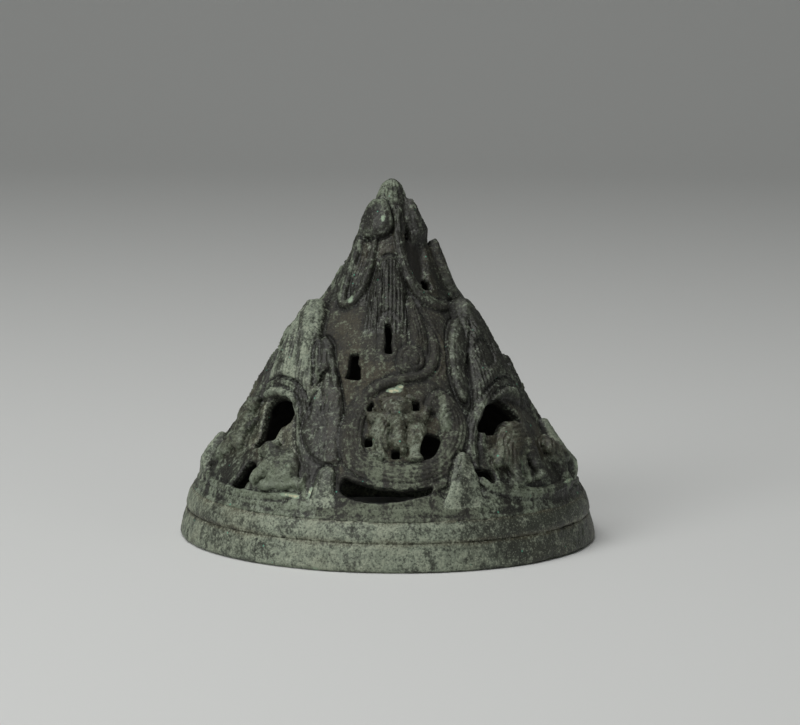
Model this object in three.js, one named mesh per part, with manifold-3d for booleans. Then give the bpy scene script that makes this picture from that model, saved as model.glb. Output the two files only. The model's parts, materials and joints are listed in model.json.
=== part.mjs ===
// Openwork mountain cover of a bronze hill censer, standing on its rim.
// Millimetres, +Z up, the front of the cover faces -Y. Azimuths are in degrees, counted from
// the front toward +X. Relief lies on the mountain by azimuth, height and lift off the wall.
import * as THREE from 'three';
import { mergeVertices } from 'three/addons/utils/BufferGeometryUtils.js';
import Module from 'manifold-3d';

const wasm = await Module();
wasm.setup();

// Rim: two plain bands, one above the other, with a groove between them
const rimRadius = 60;
const rimHeight = 8;
const rimTaper = 1.5;
const rimEdge = 0.8;
const rimWall = 3.4;
const bandHeight = 6;
const bandTaper = 1.6;
const grooveDepth = 0.5;
const rimFacets = 48;

// Mountain: a hollow cone that carries a solid summit
const mountainHeight = 89;
const footInset = 0.9;
const wallThickness = 2.4;
const slopeTilt = 31;
const fullTurn = 360;

// Tops of the two lower walls and foot of the summit, in hundredths of the mountain's height
const bayWallShare = 38;
const upperWallShare = 61;
const summitShare = 89;

// Clear gap between a feature and its neighbours
const seam = 0.3;

// Relief
const ribHeight = 1.8;
const ribDip = 0.6;
const archRingWidth = 4.4;
const cloudRingWidth = 4.2;
const recessDepth = 0.9;
const recessRingWidth = 1.8;
const recessRibHeight = 1;
const scrollWidth = 2.8;
const scrollHeight = 1.4;
const strataDepth = 0.35;
const slotWidth = 2.4;
const smallHole = 2.3;

const mountainFoot = rimHeight + bandHeight;
const footRadius = rimRadius - rimTaper - bandTaper - footInset;
const tilt = THREE.MathUtils.degToRad(slopeTilt);

// Slope of the valleys: share of the mountain's height, share of its foot radius
const slope = [
  [0, 1], [0.07, 0.945], [0.18, 0.815], [0.4, 0.592], [0.52, 0.457], [0.63, 0.303],
  [0.74, 0.22], [0.85, 0.137], [0.96, 0.055], [1, 0.02],
];

// The small foot peaks stand where two bays meet, and part the mountain into seven bays
const frontFeet = [-78, -21, 27, 80];
const hiddenBays = 4;
const hiddenPitch = (fullTurn + frontFeet[0] - frontFeet[3]) / hiddenBays;
const feet = [...frontFeet, ...[1, 2, 3].map((step) => frontFeet[3] + step * hiddenPitch)];
const bays = feet.map((from, k) => {
  const to = k + 1 < feet.length ? feet[k + 1] : feet[0] + fullTurn;
  return { from, to, middle: (from + to) / 2, half: (to - from) / 2 };
});
const bayNames = [
  'front_left', 'front', 'front_right', 'right', 'back_right', 'back_left', 'left',
];
// An arch bay has an open arch with figures, a cloud bay a C-shaped ring over a crescent gap
const bayKinds = ['arch', 'cloud', 'arch', 'cloud', 'arch', 'arch', 'cloud'];

const bronze = (color) => new THREE.MeshStandardMaterial({
  color, roughness: 0.7, metalness: 0.6, flatShading: true,
});
const paleGreen = '#76836f';
const darkGreen = '#4a4f45';
const earthBrown = '#4d4738';

// Reliefs give their heights in hundredths of the mountain's height
const climb = (share) => share * mountainHeight / 100;
const up = (share) => mountainFoot + climb(share);

const bayTop = up(bayWallShare);
const upperTop = up(upperWallShare);
const summitFoot = up(summitShare);

// Degrees between two azimuths, the short way round
const between = (one, other) => (
  Math.abs(((one - other + 1.5 * fullTurn) % fullTurn) - fullTurn / 2)
);

const degrees = (arc, radius) => THREE.MathUtils.radToDeg(arc / radius);

function slopeRadius(z) {
  const share = THREE.MathUtils.clamp((z - mountainFoot) / mountainHeight, 0, 1);
  const next = Math.max(slope.findIndex(([at]) => at >= share), 1);
  const [low, lowRadius] = slope[next - 1];
  const [high, highRadius] = slope[next];
  const mix = (share - low) / (high - low);
  return footRadius * THREE.MathUtils.lerp(lowRadius, highRadius, mix);
}

function around(azimuth, radius, z) {
  const angle = THREE.MathUtils.degToRad(azimuth);
  return new THREE.Vector3(radius * Math.sin(angle), -radius * Math.cos(angle), z);
}

// Point lifted off the slope square to it
function onSlope(azimuth, z, lift) {
  const radius = Math.max(slopeRadius(z) + lift * Math.cos(tilt), 0.05);
  return around(azimuth, radius, z + lift * Math.sin(tilt));
}

// Point set out from the slope level with the ground, as the openings are cut
function outFromSlope(azimuth, z, out) {
  return around(azimuth, Math.max(slopeRadius(z) + out, 0.05), z);
}

// Closed body between an inner and an outer sheet of points, which may run right round.
// Columns run counterclockwise round the axis and rows run up, seen from outside.
function sheetBody(columns, rows, point, round = false) {
  const stride = round ? columns : columns + 1;
  const at = (side, i, j) => (side * (rows + 1) + j) * stride + (i % stride);
  const positions = [];
  for (const side of [0, 1]) {
    for (let j = 0; j <= rows; j += 1) {
      for (let i = 0; i < stride; i += 1) {
        positions.push(...point(i / columns, j / rows, side === 1).toArray());
      }
    }
  }
  const index = [];
  const quad = (a, b, c, d) => index.push(a, b, c, a, c, d);
  for (let j = 0; j < rows; j += 1) {
    for (let i = 0; i < columns; i += 1) {
      quad(at(1, i, j), at(1, i + 1, j), at(1, i + 1, j + 1), at(1, i, j + 1));
      quad(at(0, i, j), at(0, i, j + 1), at(0, i + 1, j + 1), at(0, i + 1, j));
    }
    if (!round) {
      quad(at(1, 0, j), at(1, 0, j + 1), at(0, 0, j + 1), at(0, 0, j));
      quad(at(1, columns, j + 1), at(1, columns, j), at(0, columns, j), at(0, columns, j + 1));
    }
  }
  for (let i = 0; i < columns; i += 1) {
    quad(at(1, i + 1, 0), at(1, i, 0), at(0, i, 0), at(0, i + 1, 0));
    quad(at(1, i, rows), at(1, i + 1, rows), at(0, i + 1, rows), at(0, i, rows));
  }
  const geometry = new THREE.BufferGeometry();
  geometry.setAttribute('position', new THREE.Float32BufferAttribute(positions, 3));
  geometry.setIndex(index);
  return geometry;
}

function toSolid(geometry) {
  const plain = geometry.clone();
  plain.deleteAttribute('normal');
  plain.deleteAttribute('uv');
  const merged = mergeVertices(plain, 1e-4);
  return new wasm.Manifold(new wasm.Mesh({
    numProp: 3,
    vertProperties: new Float32Array(merged.attributes.position.array),
    triVerts: new Uint32Array(merged.index.array),
  }));
}

function toGeometry(solid) {
  const { vertProperties, triVerts } = solid.getMesh();
  const geometry = new THREE.BufferGeometry();
  geometry.setAttribute('position', new THREE.Float32BufferAttribute(vertProperties, 3));
  geometry.setIndex(Array.from(triVerts));
  return geometry;
}

const group = new THREE.Group();

function addPiece(name, geometry, color) {
  geometry.computeVertexNormals();
  const mesh = new THREE.Mesh(geometry, bronze(color));
  mesh.name = name;
  group.add(mesh);
}

// Keeps the largest lump of a cut body, so that no sliver is left beside it
function largestLump(solid) {
  const lumps = solid.decompose();
  return lumps.reduce((best, lump) => (lump.volume() > best.volume() ? lump : best));
}

function cutBy(solid, cutters) {
  return cutters.reduce((left, cutter) => left.subtract(cutter), solid);
}

// Prism through the wall from an outline of azimuths and heights, cut level with the ground
function opening(outline, depth = 9) {
  const curve = new THREE.SplineCurve(outline.map(([x, y]) => new THREE.Vector2(x, y)));
  const shape = new THREE.Shape(curve.points);
  const geometry = new THREE.ExtrudeGeometry(shape, { depth: 1, bevelEnabled: false });
  const position = geometry.attributes.position;
  for (let k = 0; k < position.count; k += 1) {
    const out = (position.getZ(k) - 0.5) * 2 * depth;
    const point = outFromSlope(position.getX(k), position.getY(k), out);
    position.setXYZ(k, point.x, point.y, point.z);
  }
  return toSolid(geometry);
}

// Rim and band

// Revolved ring between an outer outline of heights and radii and a plain inner face
function bandBody(outline) {
  const [foot] = outline[0];
  const [top] = outline[outline.length - 1];
  const bore = (z) => rimRadius - rimWall - rimTaper * z / mountainFoot;
  const points = [
    [foot, bore(foot)], ...outline, [top, bore(top)], [foot, bore(foot)],
  ].map(([z, radius]) => new THREE.Vector2(radius, z));
  const geometry = new THREE.LatheGeometry(points, rimFacets);
  geometry.rotateX(Math.PI / 2);
  return toGeometry(toSolid(geometry));
}

const rimTop = rimRadius - rimTaper;
addPiece('rim', bandBody([
  [0, rimRadius - rimEdge],
  [rimEdge, rimRadius],
  [rimHeight - 2 * grooveDepth, rimTop],
  [rimHeight, rimTop - grooveDepth],
]), paleGreen);

addPiece('shoulder_band', bandBody([
  [rimHeight, rimTop - grooveDepth],
  [rimHeight + grooveDepth, rimTop],
  [mountainFoot - grooveDepth, rimTop - bandTaper],
  [mountainFoot, rimTop - bandTaper - grooveDepth],
]), paleGreen);

// Walls

// Part of the mountain's wall between two heights, with level ends. Its rows lie where the
// slope bends, so that its facets follow the slope.
function wallBody(from, to, foot, top, facets = rimFacets) {
  const bends = slope.map(([share]) => mountainFoot + share * mountainHeight);
  const levels = [foot, ...bends.filter((z) => z > foot + 0.8 && z < top - 0.8), top];
  const rows = levels.length - 1;
  const round = to - from >= fullTurn;
  const columns = Math.max(Math.round((to - from) / fullTurn * facets), 2);
  const depth = wallThickness / Math.cos(tilt);
  return toSolid(sheetBody(columns, rows, (u, v, outer) => {
    const z = levels[Math.round(v * rows)];
    const radius = slopeRadius(z) - (outer ? 0 : depth);
    return around(THREE.MathUtils.lerp(from, to, u), Math.max(radius, 0.4), z);
  }, round));
}

// Oval outline on the slope; its crown leans to one side by a few degrees
function oval({ middle, centre, half, rise, lean = 0 }, turn, grow = 0) {
  const z = centre + (rise + grow) * Math.sin(turn);
  const wide = half + degrees(grow, slopeRadius(centre));
  return [middle + wide * Math.cos(turn) + lean * Math.sin(turn), z];
}

// Raised ring of ribs round an oval, from one turn to another
function ribRing(shape, width, ribs, columns, tall = ribHeight, start = 0, end = 2 * Math.PI) {
  const round = end - start > 6.28;
  const rows = ribs * 2;
  return toSolid(sheetBody(columns, rows, (u, v, outer) => {
    const turn = THREE.MathUtils.lerp(start, end, u);
    const [azimuth, z] = oval(shape, turn, width * (0.5 - v));
    const crest = Math.round(v * rows) % 2 === 1;
    return onSlope(azimuth, z, outer ? tall - (crest ? 0 : ribDip) : -1);
  }, round));
}

// Block that clears the room over a ring, for what stands inside it
function ringBlock(shape, width) {
  return toSolid(sheetBody(24, 1, (u, v, outer) => {
    const [azimuth, z] = oval(shape, u * 2 * Math.PI, (width + 2 * seam) * (0.5 - v));
    return onSlope(azimuth, z, outer ? 9 : -1);
  }, true));
}

// Block that clears the room over an oval, for what lies behind it
function ovalBlock(shape, grow, low = -0.5, high = 9) {
  const outline = new THREE.Shape(Array.from({ length: 18 }, (_, k) => {
    const [azimuth, z] = oval(shape, k / 18 * 2 * Math.PI, grow);
    return new THREE.Vector2(azimuth, z);
  }));
  const geometry = new THREE.ExtrudeGeometry(outline, { depth: 1, bevelEnabled: false });
  const position = geometry.attributes.position;
  for (let k = 0; k < position.count; k += 1) {
    const lift = THREE.MathUtils.lerp(low, high, position.getZ(k));
    const point = onSlope(position.getX(k), position.getY(k), lift);
    position.setXYZ(k, point.x, point.y, point.z);
  }
  return toSolid(geometry);
}

const archShape = (bay, lean = 3) => ({
  middle: bay.middle, centre: up(19.2), half: bay.half - 4, rise: climb(14.2), lean,
});
const cloudShape = (bay) => ({
  middle: bay.middle + 3, centre: up(23.4), half: bay.half - 6.2, rise: climb(11.2), lean: 0,
});

// Peaks

const footTips = [17.5, 15.5, 19.5, 22, 15.5, 19.5, 15.5];
const footPeaks = feet.map((at, k) => ({
  name: `foot_peak_${k + 1}`, at, foot: 1, tip: footTips[k],
  sway: 0, halfAngle: 5.6, bulge: 0.9, lean: 0, strata: 3, color: paleGreen,
}));

// A large peak stands over each arch. It sways by some degrees from its foot to its tip.
const largePeaks = [
  { place: 'front_left', shift: 7.5, sway: -21, tip: 61, color: paleGreen },
  { place: 'front_right', shift: -3.5, sway: 18, tip: 61.5 },
  { place: 'back_right', shift: -6, sway: 8, tip: 60.5 },
  { place: 'back_left', shift: 6, sway: -8, tip: 59.5 },
].map((peak) => ({
  name: `large_peak_${peak.place}`, at: bays[bayNames.indexOf(peak.place)].middle + peak.shift,
  foot: 15.5, halfAngle: 14, bulge: 2.1, lean: 1.5, strata: 5, color: darkGreen, ...peak,
}));

// Leaves that step down beside the large peaks, in front of them and behind them
const nearLeaves = [
  { name: 'step_leaf_1', at: -29, sway: -12, foot: 34, tip: 51, halfAngle: 5.9, bulge: 1.6 },
  { name: 'step_leaf_2', at: -23, sway: -8, foot: 13.5, tip: 42, halfAngle: 7.8, bulge: 1.7 },
  { name: 'step_leaf_3', at: 33, sway: 21, foot: 29, tip: 56, halfAngle: 5.8, bulge: 1.8 },
  { name: 'step_leaf_7', at: 181, sway: 0, foot: 22.5, tip: 49.5, halfAngle: 9.3, bulge: 1.3 },
].map((leaf) => ({ lean: 0.5, strata: 2, color: darkGreen, ...leaf }));
const farLeaves = [
  { name: 'step_leaf_4', at: 70, sway: 17, foot: 22.5, tip: 55.5, halfAngle: 10.6, bulge: 1.1 },
  { name: 'step_leaf_5', at: 84, sway: 7, foot: 18, tip: 43.5, halfAngle: 10, bulge: 0.8 },
  { name: 'step_leaf_6', at: -70, sway: -13, foot: 22.5, tip: 53.5, halfAngle: 11.3, bulge: 0.9 },
].map((leaf) => ({ lean: 0.6, strata: 3, color: darkGreen, ...leaf }));

// Peaks of the upper range, over the cloud bays
const upperPeaks = bays.flatMap((bay, k) => (bayKinds[k] !== 'cloud' ? [] : [{
  name: `small_peak_${bayNames[k]}`, at: bay.middle + 17, sway: 0, foot: 48.5, tip: 63.5,
  halfAngle: 7.2, bulge: 1.1, lean: 0.2, strata: 3, color: earthBrown,
}, {
  name: `upper_peak_${bayNames[k]}`, at: bay.middle - 6.5, sway: 0, foot: 57.5, tip: 76.5,
  halfAngle: 26, bulge: 1.1, lean: 0, strata: 5, color: darkGreen,
}]));

// Free tips that stand off the wall, and the lobes that crowd round the summit
const freeTips = [
  { name: 'free_tip_right', at: 89, foot: 55, tip: 79.5, lean: 1.9 },
  { name: 'free_tip_left', at: -113, foot: 55, tip: 76.5, lean: 1.3 },
].map((tip) => ({ sway: 0, halfAngle: 10, bulge: 0.9, strata: 2, color: darkGreen, ...tip }));
const summitLobes = [
  { name: 'summit_lobe_front_left', at: -38, sway: -8, tip: 94, halfAngle: 36, bulge: 1.2 },
  { name: 'summit_lobe_right', at: 74, sway: 0, tip: 93.5, halfAngle: 31, bulge: 1.2 },
  { name: 'summit_lobe_back', at: 168, sway: 0, tip: 91, halfAngle: 33, bulge: 0.6 },
  { name: 'summit_lobe_left', at: -118, sway: 0, tip: 90, halfAngle: 30, bulge: 0.5 },
].map((lobe) => ({ foot: 76.5, lean: 0, strata: 3, color: darkGreen, ...lobe }));

// Half width of a peak in millimetres at a share of its height, pointed like a leaf
function peakWidth(peak, share) {
  const full = THREE.MathUtils.degToRad(peak.halfAngle) * slopeRadius(up(peak.foot));
  return full * (1 - share) ** 0.55 * 0.94 + full * 0.06;
}

function peakBody(peak, columns, rows, lifts, margin = 0) {
  const foot = up(peak.foot) - margin;
  const tip = up(peak.tip) + margin;
  return toSolid(sheetBody(columns, rows, (u, v, outer) => {
    const share = 1 - (1 - v) ** 1.35;
    const z = THREE.MathUtils.lerp(foot, tip, share);
    const width = peakWidth(peak, share) + margin;
    const swayed = peak.at + peak.sway * share ** 1.3;
    const azimuth = swayed + degrees(width * (2 * u - 1), slopeRadius(z));
    return onSlope(azimuth, z, lifts(u, share, outer));
  }));
}

// The slab of a peak, thick in the middle, with furrows that run up to its tip
function peakSlab(peak) {
  const columns = peak.strata * 2;
  return peakBody(peak, columns, peak.strata > 4 ? 6 : 4, (u, share, outer) => {
    const back = seam + peak.lean * share ** 2;
    if (!outer) {
      return back;
    }
    const round = Math.sqrt(Math.max(1 - (2 * u - 1) ** 2, 0));
    const swell = peak.bulge * round * (0.4 + 0.6 * Math.sqrt(1 - share ** 3));
    const crest = Math.round(u * columns) % 2 === 1 ? strataDepth : 0;
    return back + 0.7 + swell + crest;
  });
}

const peakBlock = (peak) => peakBody(peak, 6, 6, (u, share, outer) => (outer ? 9 : -0.5), seam);

function overlaps(one, other) {
  const sways = Math.abs(one.sway) + Math.abs(other.sway);
  const reach = (one.halfAngle + other.halfAngle) * 1.8 + sways;
  const near = between(one.at, other.at) < reach;
  return near && one.foot < other.tip + 4 && other.foot < one.tip + 4;
}

// Fluted dome of the summit, grown by a clear gap where it cuts what leans on it
const flutes = 11;
const fluteDepth = 0.3;
const summitRadius = slopeRadius(summitFoot) * 0.86;

function summitBody(grow = 0) {
  const stem = summitRadius * 0.4;
  return toSolid(sheetBody(flutes * 2, 4, (u, v, outer) => {
    const rise = outer ? Math.sin(v * Math.PI / 2) : 0;
    const z = THREE.MathUtils.lerp(summitFoot, mountainFoot + mountainHeight, rise);
    const crest = Math.round(u * flutes * 2) % 2 === 0 ? 0 : fluteDepth * (1 - v);
    const radius = summitRadius * Math.cos(v * Math.PI / 2) - crest + grow;
    return around(u * fullTurn, outer ? Math.max(radius, 0.3) : stem * (1.1 - v), z + grow * rise);
  }, true));
}

const footBlocks = footPeaks.map(peakBlock);
const archBlocks = bays.flatMap((bay, k) => (
  bayKinds[k] === 'arch' ? [ovalBlock(archShape(bay), archRingWidth / 2 + seam)] : []
));
const cloudBlocks = bays.flatMap((bay, k) => (
  bayKinds[k] === 'cloud' ? [ovalBlock(cloudShape(bay), cloudRingWidth / 2 + seam)] : []
));

// Nearer peaks come first, and each one is cut clear of those before it
const peaks = [
  ...footPeaks, ...nearLeaves, ...largePeaks, ...farLeaves, ...freeTips, ...upperPeaks,
  ...summitLobes,
];
peaks.forEach((peak, k) => {
  const nearer = peaks.slice(0, k).filter((other) => overlaps(peak, other));
  const rings = k < footPeaks.length ? [] : [...archBlocks, ...cloudBlocks];
  const blocks = [...rings, ...nearer.map(peakBlock), summitBody(seam)];
  const clear = cutBy(peakSlab(peak), blocks);
  addPiece(peak.name, toGeometry(largestLump(clear)), peak.color);
});

// Bay walls with their openings and rings

// Openings of an arch bay: shares of the bay's half width, and heights in hundredths
const leftArchOpenings = [
  [[-0.17, 30.6], [0.07, 32.1], [0.36, 30.6], [0.46, 27.6], [0.3, 24.3], [0.22, 20.2], [0.1, 17.5],
    [-0.22, 17.1], [-0.12, 21.1], [-0.24, 24.7]],
  [[-0.2, 12.1], [0, 12.8], [0.2, 9.2], [0, 6.3], [-0.24, 6.1], [-0.1, 9.2]],
];
const rightArchOpenings = [
  [[-0.6, 24], [-0.28, 30.6], [0, 32.8], [0.3, 30.8], [0.42, 25.8], [0.1, 25.2], [-0.3, 22.5],
    [-0.5, 21.8]],
  [[-0.74, 13.9], [-0.46, 15.1], [-0.44, 9.4], [-0.62, 11]],
];
// The crescent gap of a cloud bay, and the free shape beside the beast
const crescent = [
  [-0.68, 12.4], [-0.36, 11.1], [0, 10.2], [0.36, 10.1], [0.58, 10.4], [0.48, 7], [0.2, 5.1],
  [-0.1, 4.5], [-0.42, 5.2], [-0.68, 7.4],
];
const sideGap = [[0.44, 24.5], [0.72, 23.1], [0.6, 19.6], [0.4, 17.1], [0.3, 19.1]];
const squareHoles = [[-0.5, 31.9], [0.36, 32.6], [-0.46, 22], [-0.02, 18.8]];

function bayOutline(bay, outline) {
  return outline.map(([share, height]) => [bay.middle + share * bay.half, up(height)]);
}

function squareHole(bay, [share, height], size) {
  const z = up(height);
  const half = degrees(size / 2, slopeRadius(z));
  const azimuth = bay.middle + share * bay.half;
  return opening([
    [azimuth - half, z - size / 2], [azimuth + half, z - size / 2],
    [azimuth + half, z + size / 2], [azimuth - half, z + size / 2],
  ]);
}

bays.forEach((bay, k) => {
  const sideSeam = degrees(seam / 2, slopeRadius(bayTop));
  const wall = wallBody(bay.from + sideSeam, bay.to - sideSeam, mountainFoot, bayTop);
  const arch = bayKinds[k] === 'arch';
  const ring = arch
    ? ribRing(archShape(bay), archRingWidth, 2, 16)
    : ribRing(
      cloudShape(bay), cloudRingWidth, 2, 12, ribHeight, -1.22 * Math.PI, 0.3 * Math.PI,
    );
  const archOpenings = k % 2 === 0 && k > 0 ? rightArchOpenings : leftArchOpenings;
  const cutters = arch
    ? archOpenings.map((outline) => opening(bayOutline(bay, outline)))
    : [
      ...[crescent, sideGap].map((outline) => opening(bayOutline(bay, outline))),
      ...squareHoles.map((place) => squareHole(bay, place, smallHole)),
    ];
  const clearRing = cutBy(ring, footBlocks);
  const body = cutBy(wall.add(clearRing), cutters);
  addPiece(`bay_wall_${bayNames[k]}`, toGeometry(largestLump(body)), arch ? darkGreen : earthBrown);
});

// Upper wall with two slots over each cloud bay
const slots = [
  { shift: -4, foot: 47.6, top: 56.2 },
  { shift: -22, foot: 40.5, top: 47.8 },
];
const slotCutters = bays.flatMap((bay, k) => (bayKinds[k] !== 'cloud' ? [] : slots.map((slot) => {
  const half = degrees(slotWidth / 2, slopeRadius(up(slot.foot)));
  const at = bay.middle + slot.shift;
  return opening([
    [at - half, up(slot.foot)], [at + half, up(slot.foot)],
    [at + half, up(slot.top)], [at - half, up(slot.top)],
  ]);
})));
addPiece('upper_wall', toGeometry(cutBy(
  wallBody(0, fullTurn, bayTop, upperTop, 40), slotCutters,
)), earthBrown);

// Summit wall with oval recesses in double contours
const recesses = [
  { middle: 47, centre: up(74.5), half: 25, rise: climb(11), lean: 0 },
  { middle: -52, centre: up(71), half: 12, rise: climb(7.6), lean: 0 },
];
const recessClear = peaks.slice(footPeaks.length).filter((peak) => peak.tip > 58).map(peakBlock);
const summitRings = recesses.map((shape) => cutBy(
  ribRing(shape, recessRingWidth, 1, 12, recessRibHeight), recessClear,
));
const summitWall = summitRings.reduce(
  (wall, ring) => wall.add(ring),
  wallBody(0, fullTurn, upperTop, summitFoot, 28),
);
const pockets = recesses.map((shape) => (
  ovalBlock(shape, -recessRingWidth / 2, -recessDepth, 6)
));
const vent = squareHole({ middle: 46, half: 1 }, [0, 67], smallHole);
addPiece('summit_wall', toGeometry(largestLump(
  cutBy(summitWall, [...pockets, vent]),
)), darkGreen);

addPiece('summit_peak', toGeometry(summitBody()), darkGreen);

// Cloud scrolls: a band that winds up from the cloud ring to the upper wall
const scrollPath = [
  [-9, 35.5], [-1.5, 38.2], [9, 39.7], [18.5, 41.4], [24, 45], [26.4, 49.4], [24.6, 53],
];

function scrollBody(bay) {
  const curve = new THREE.SplineCurve(scrollPath.map(([x, y]) => new THREE.Vector2(x, y)));
  const columns = 14;
  return toSolid(sheetBody(columns, 2, (u, v, outer) => {
    const { x, y } = curve.getPoint(1 - u);
    const along = curve.getTangent(1 - u);
    const z = up(y);
    const perDegree = THREE.MathUtils.degToRad(slopeRadius(z));
    const length = Math.hypot(along.x * perDegree, along.y);
    const taper = 0.35 + 0.65 * Math.sin(Math.PI * Math.min(Math.max(u, 0.08), 0.92));
    const aside = scrollWidth * taper * (v - 0.5);
    const azimuth = bay.middle - 3 + x + aside * along.y / length / perDegree;
    const height = z - aside * along.x * perDegree / length;
    const lift = seam + (outer ? 0.4 + (v === 0.5 ? scrollHeight - 0.4 : 0) : 0);
    return onSlope(azimuth, height, lift);
  }));
}

bays.forEach((bay, k) => {
  if (bayKinds[k] === 'cloud') {
    const near = peaks.filter((peak) => (
      between(peak.at, bay.middle) < 60 && peak.tip > 33
    ));
    const clear = cutBy(scrollBody(bay), [...near.map(peakBlock), ...cloudBlocks]);
    addPiece(`cloud_scroll_${bayNames[k]}`, toGeometry(largestLump(clear)), earthBrown);
  }
});

// Figures: rounded bodies joined into one, laid flat first and then bent onto the slope

function lump(x, y, z, width, height, depth, turn = 0) {
  const geometry = new THREE.SphereGeometry(1, 6, 4);
  geometry.scale(width, height, depth);
  geometry.rotateZ(THREE.MathUtils.degToRad(turn));
  geometry.translate(x, y, z);
  return toSolid(geometry);
}

// A frontal beast that squats, with raised forelegs and two ears
const squattingBeast = () => [
  lump(0, 0, 0.8, 3.2, 4.4, 2.4), lump(0, 5.4, 1.4, 3, 2.4, 2.2),
  lump(-2.2, 7.4, 1.2, 0.9, 1.2, 0.9), lump(2.2, 7.4, 1.2, 0.9, 1.2, 0.9),
  lump(-3.8, -1.6, 1, 2, 3.4, 1.9, 12), lump(3.8, -1.6, 1, 2, 3.4, 1.9, -12),
  lump(-4.6, 2.6, 0.9, 2.8, 1.2, 1.2, 28), lump(4.6, 2.6, 0.9, 2.8, 1.2, 1.2, -28),
];

// A beast in side view that walks, with its head low and its tail up
const walkingBeast = () => [
  lump(0, 0, 1, 5, 2.7, 2, 8), lump(-5.4, 1.6, 1.4, 2.2, 1.9, 1.7), lump(4.8, 2.6, 0.9, 0.8, 2.6, 0.8),
  lump(-3.4, -3.6, 1, 1.1, 2.8, 1.2, 8), lump(-1, -3.9, 0.7, 0.9, 2.5, 1, -6),
  lump(2.6, -3.5, 1, 1.2, 2.9, 1.2, -10), lump(4.4, -3.4, 0.7, 0.9, 2.6, 1, 8),
];

// A small rounded bear that sits
const sittingBear = () => [
  lump(0, 0, 1, 3.9, 3.5, 2.4, -20), lump(-3.4, 3, 1.4, 2, 1.8, 1.7),
  lump(-2.4, -3, 1, 1.1, 2, 1.3, 15), lump(2.2, -3, 1, 1.3, 2, 1.4, -15),
];

// A small kneeling person with one arm raised
const kneelingPerson = () => [
  lump(0, 0, 1, 2.4, 3.6, 1.9, 14), lump(-0.8, 4.7, 1.3, 1.5, 1.7, 1.4),
  lump(-2.4, 2.4, 1.1, 2.4, 0.9, 0.9, -30), lump(2.2, 1, 1, 2.2, 0.9, 0.9, 35),
  lump(0.6, -3.6, 1.1, 3.1, 1.3, 1.6),
];

function bend(solid, azimuth, height) {
  const geometry = toGeometry(solid);
  const position = geometry.attributes.position;
  const radius = slopeRadius(height);
  for (let k = 0; k < position.count; k += 1) {
    const turned = azimuth + degrees(position.getX(k), radius);
    const point = onSlope(turned, height + position.getY(k), position.getZ(k));
    position.setXYZ(k, point.x, point.y, point.z);
  }
  return geometry;
}

function addFigure(name, lumps, bay, share, height, mirror = false) {
  const azimuth = bay.middle + share * bay.half;
  const arch = bayKinds[bays.indexOf(bay)] === 'arch';
  const ring = arch
    ? ringBlock(archShape(bay), archRingWidth)
    : ringBlock(cloudShape(bay), cloudRingWidth);
  const backing = new THREE.BoxGeometry(60, 60, 20);
  backing.translate(0, 0, seam - 10);
  const joined = lumps.reduce((whole, next) => whole.add(next)).subtract(toSolid(backing));
  const turned = mirror ? joined.mirror([1, 0, 0]) : joined;
  const standing = toSolid(bend(turned, azimuth, up(height))).subtract(ring);
  addPiece(name, toGeometry(largestLump(standing)), darkGreen);
}

bays.forEach((bay, k) => {
  const place = bayNames[k];
  if (bayKinds[k] === 'cloud') {
    addFigure(`squatting_beast_${place}`, squattingBeast(), bay, 0.02, 24);
  } else if (place === 'front_left') {
    addFigure('kneeling_person_front_left', kneelingPerson(), bay, -0.56, 20.5);
    addFigure('sitting_bear_front_left', sittingBear(), bay, 0.4, 14);
  } else if (place === 'front_right') {
    addFigure('walking_beast_front_right', walkingBeast(), bay, -0.1, 16);
    addFigure('sitting_bear_front_right', sittingBear(), bay, 0.48, 13.6, true);
  } else {
    addFigure(`walking_beast_${place}`, walkingBeast(), bay, 0.1, 15, place === 'back_left');
  }
});

export default group;
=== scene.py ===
import json
import math
import bpy
import numpy as np
import openvdb
from mathutils import Matrix, Vector


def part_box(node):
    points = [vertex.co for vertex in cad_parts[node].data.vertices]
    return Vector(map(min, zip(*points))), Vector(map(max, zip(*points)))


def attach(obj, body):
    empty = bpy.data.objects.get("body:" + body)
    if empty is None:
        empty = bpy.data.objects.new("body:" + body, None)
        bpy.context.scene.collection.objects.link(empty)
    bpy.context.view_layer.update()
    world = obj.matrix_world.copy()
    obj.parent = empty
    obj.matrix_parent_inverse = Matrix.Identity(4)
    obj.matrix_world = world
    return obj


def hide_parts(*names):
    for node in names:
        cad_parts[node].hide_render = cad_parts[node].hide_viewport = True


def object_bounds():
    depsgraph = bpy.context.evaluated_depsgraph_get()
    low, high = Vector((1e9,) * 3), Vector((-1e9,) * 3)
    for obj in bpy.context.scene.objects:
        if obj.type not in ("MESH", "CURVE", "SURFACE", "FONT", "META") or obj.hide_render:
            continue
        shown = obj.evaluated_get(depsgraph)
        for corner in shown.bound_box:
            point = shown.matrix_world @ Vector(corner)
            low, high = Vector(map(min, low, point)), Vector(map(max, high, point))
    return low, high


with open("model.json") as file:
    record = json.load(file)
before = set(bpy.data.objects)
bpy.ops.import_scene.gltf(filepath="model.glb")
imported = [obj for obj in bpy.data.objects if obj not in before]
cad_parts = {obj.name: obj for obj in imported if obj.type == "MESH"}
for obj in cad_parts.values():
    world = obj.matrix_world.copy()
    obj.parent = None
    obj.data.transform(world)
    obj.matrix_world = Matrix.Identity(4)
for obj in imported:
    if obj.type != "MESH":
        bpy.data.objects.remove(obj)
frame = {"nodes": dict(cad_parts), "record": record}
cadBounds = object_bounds()
mm = 0.001
random = np.random.default_rng(31)


# Camera

photoCamera = {
    "distance": 1000, "elevation": 10.986, "aim": (3.013, 0, 49.835),  # mm and degrees
    "roll": 0.645, "lens": 154.75, "sensor": 36, "clipEnd": 60,  # clip in m
}


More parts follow.
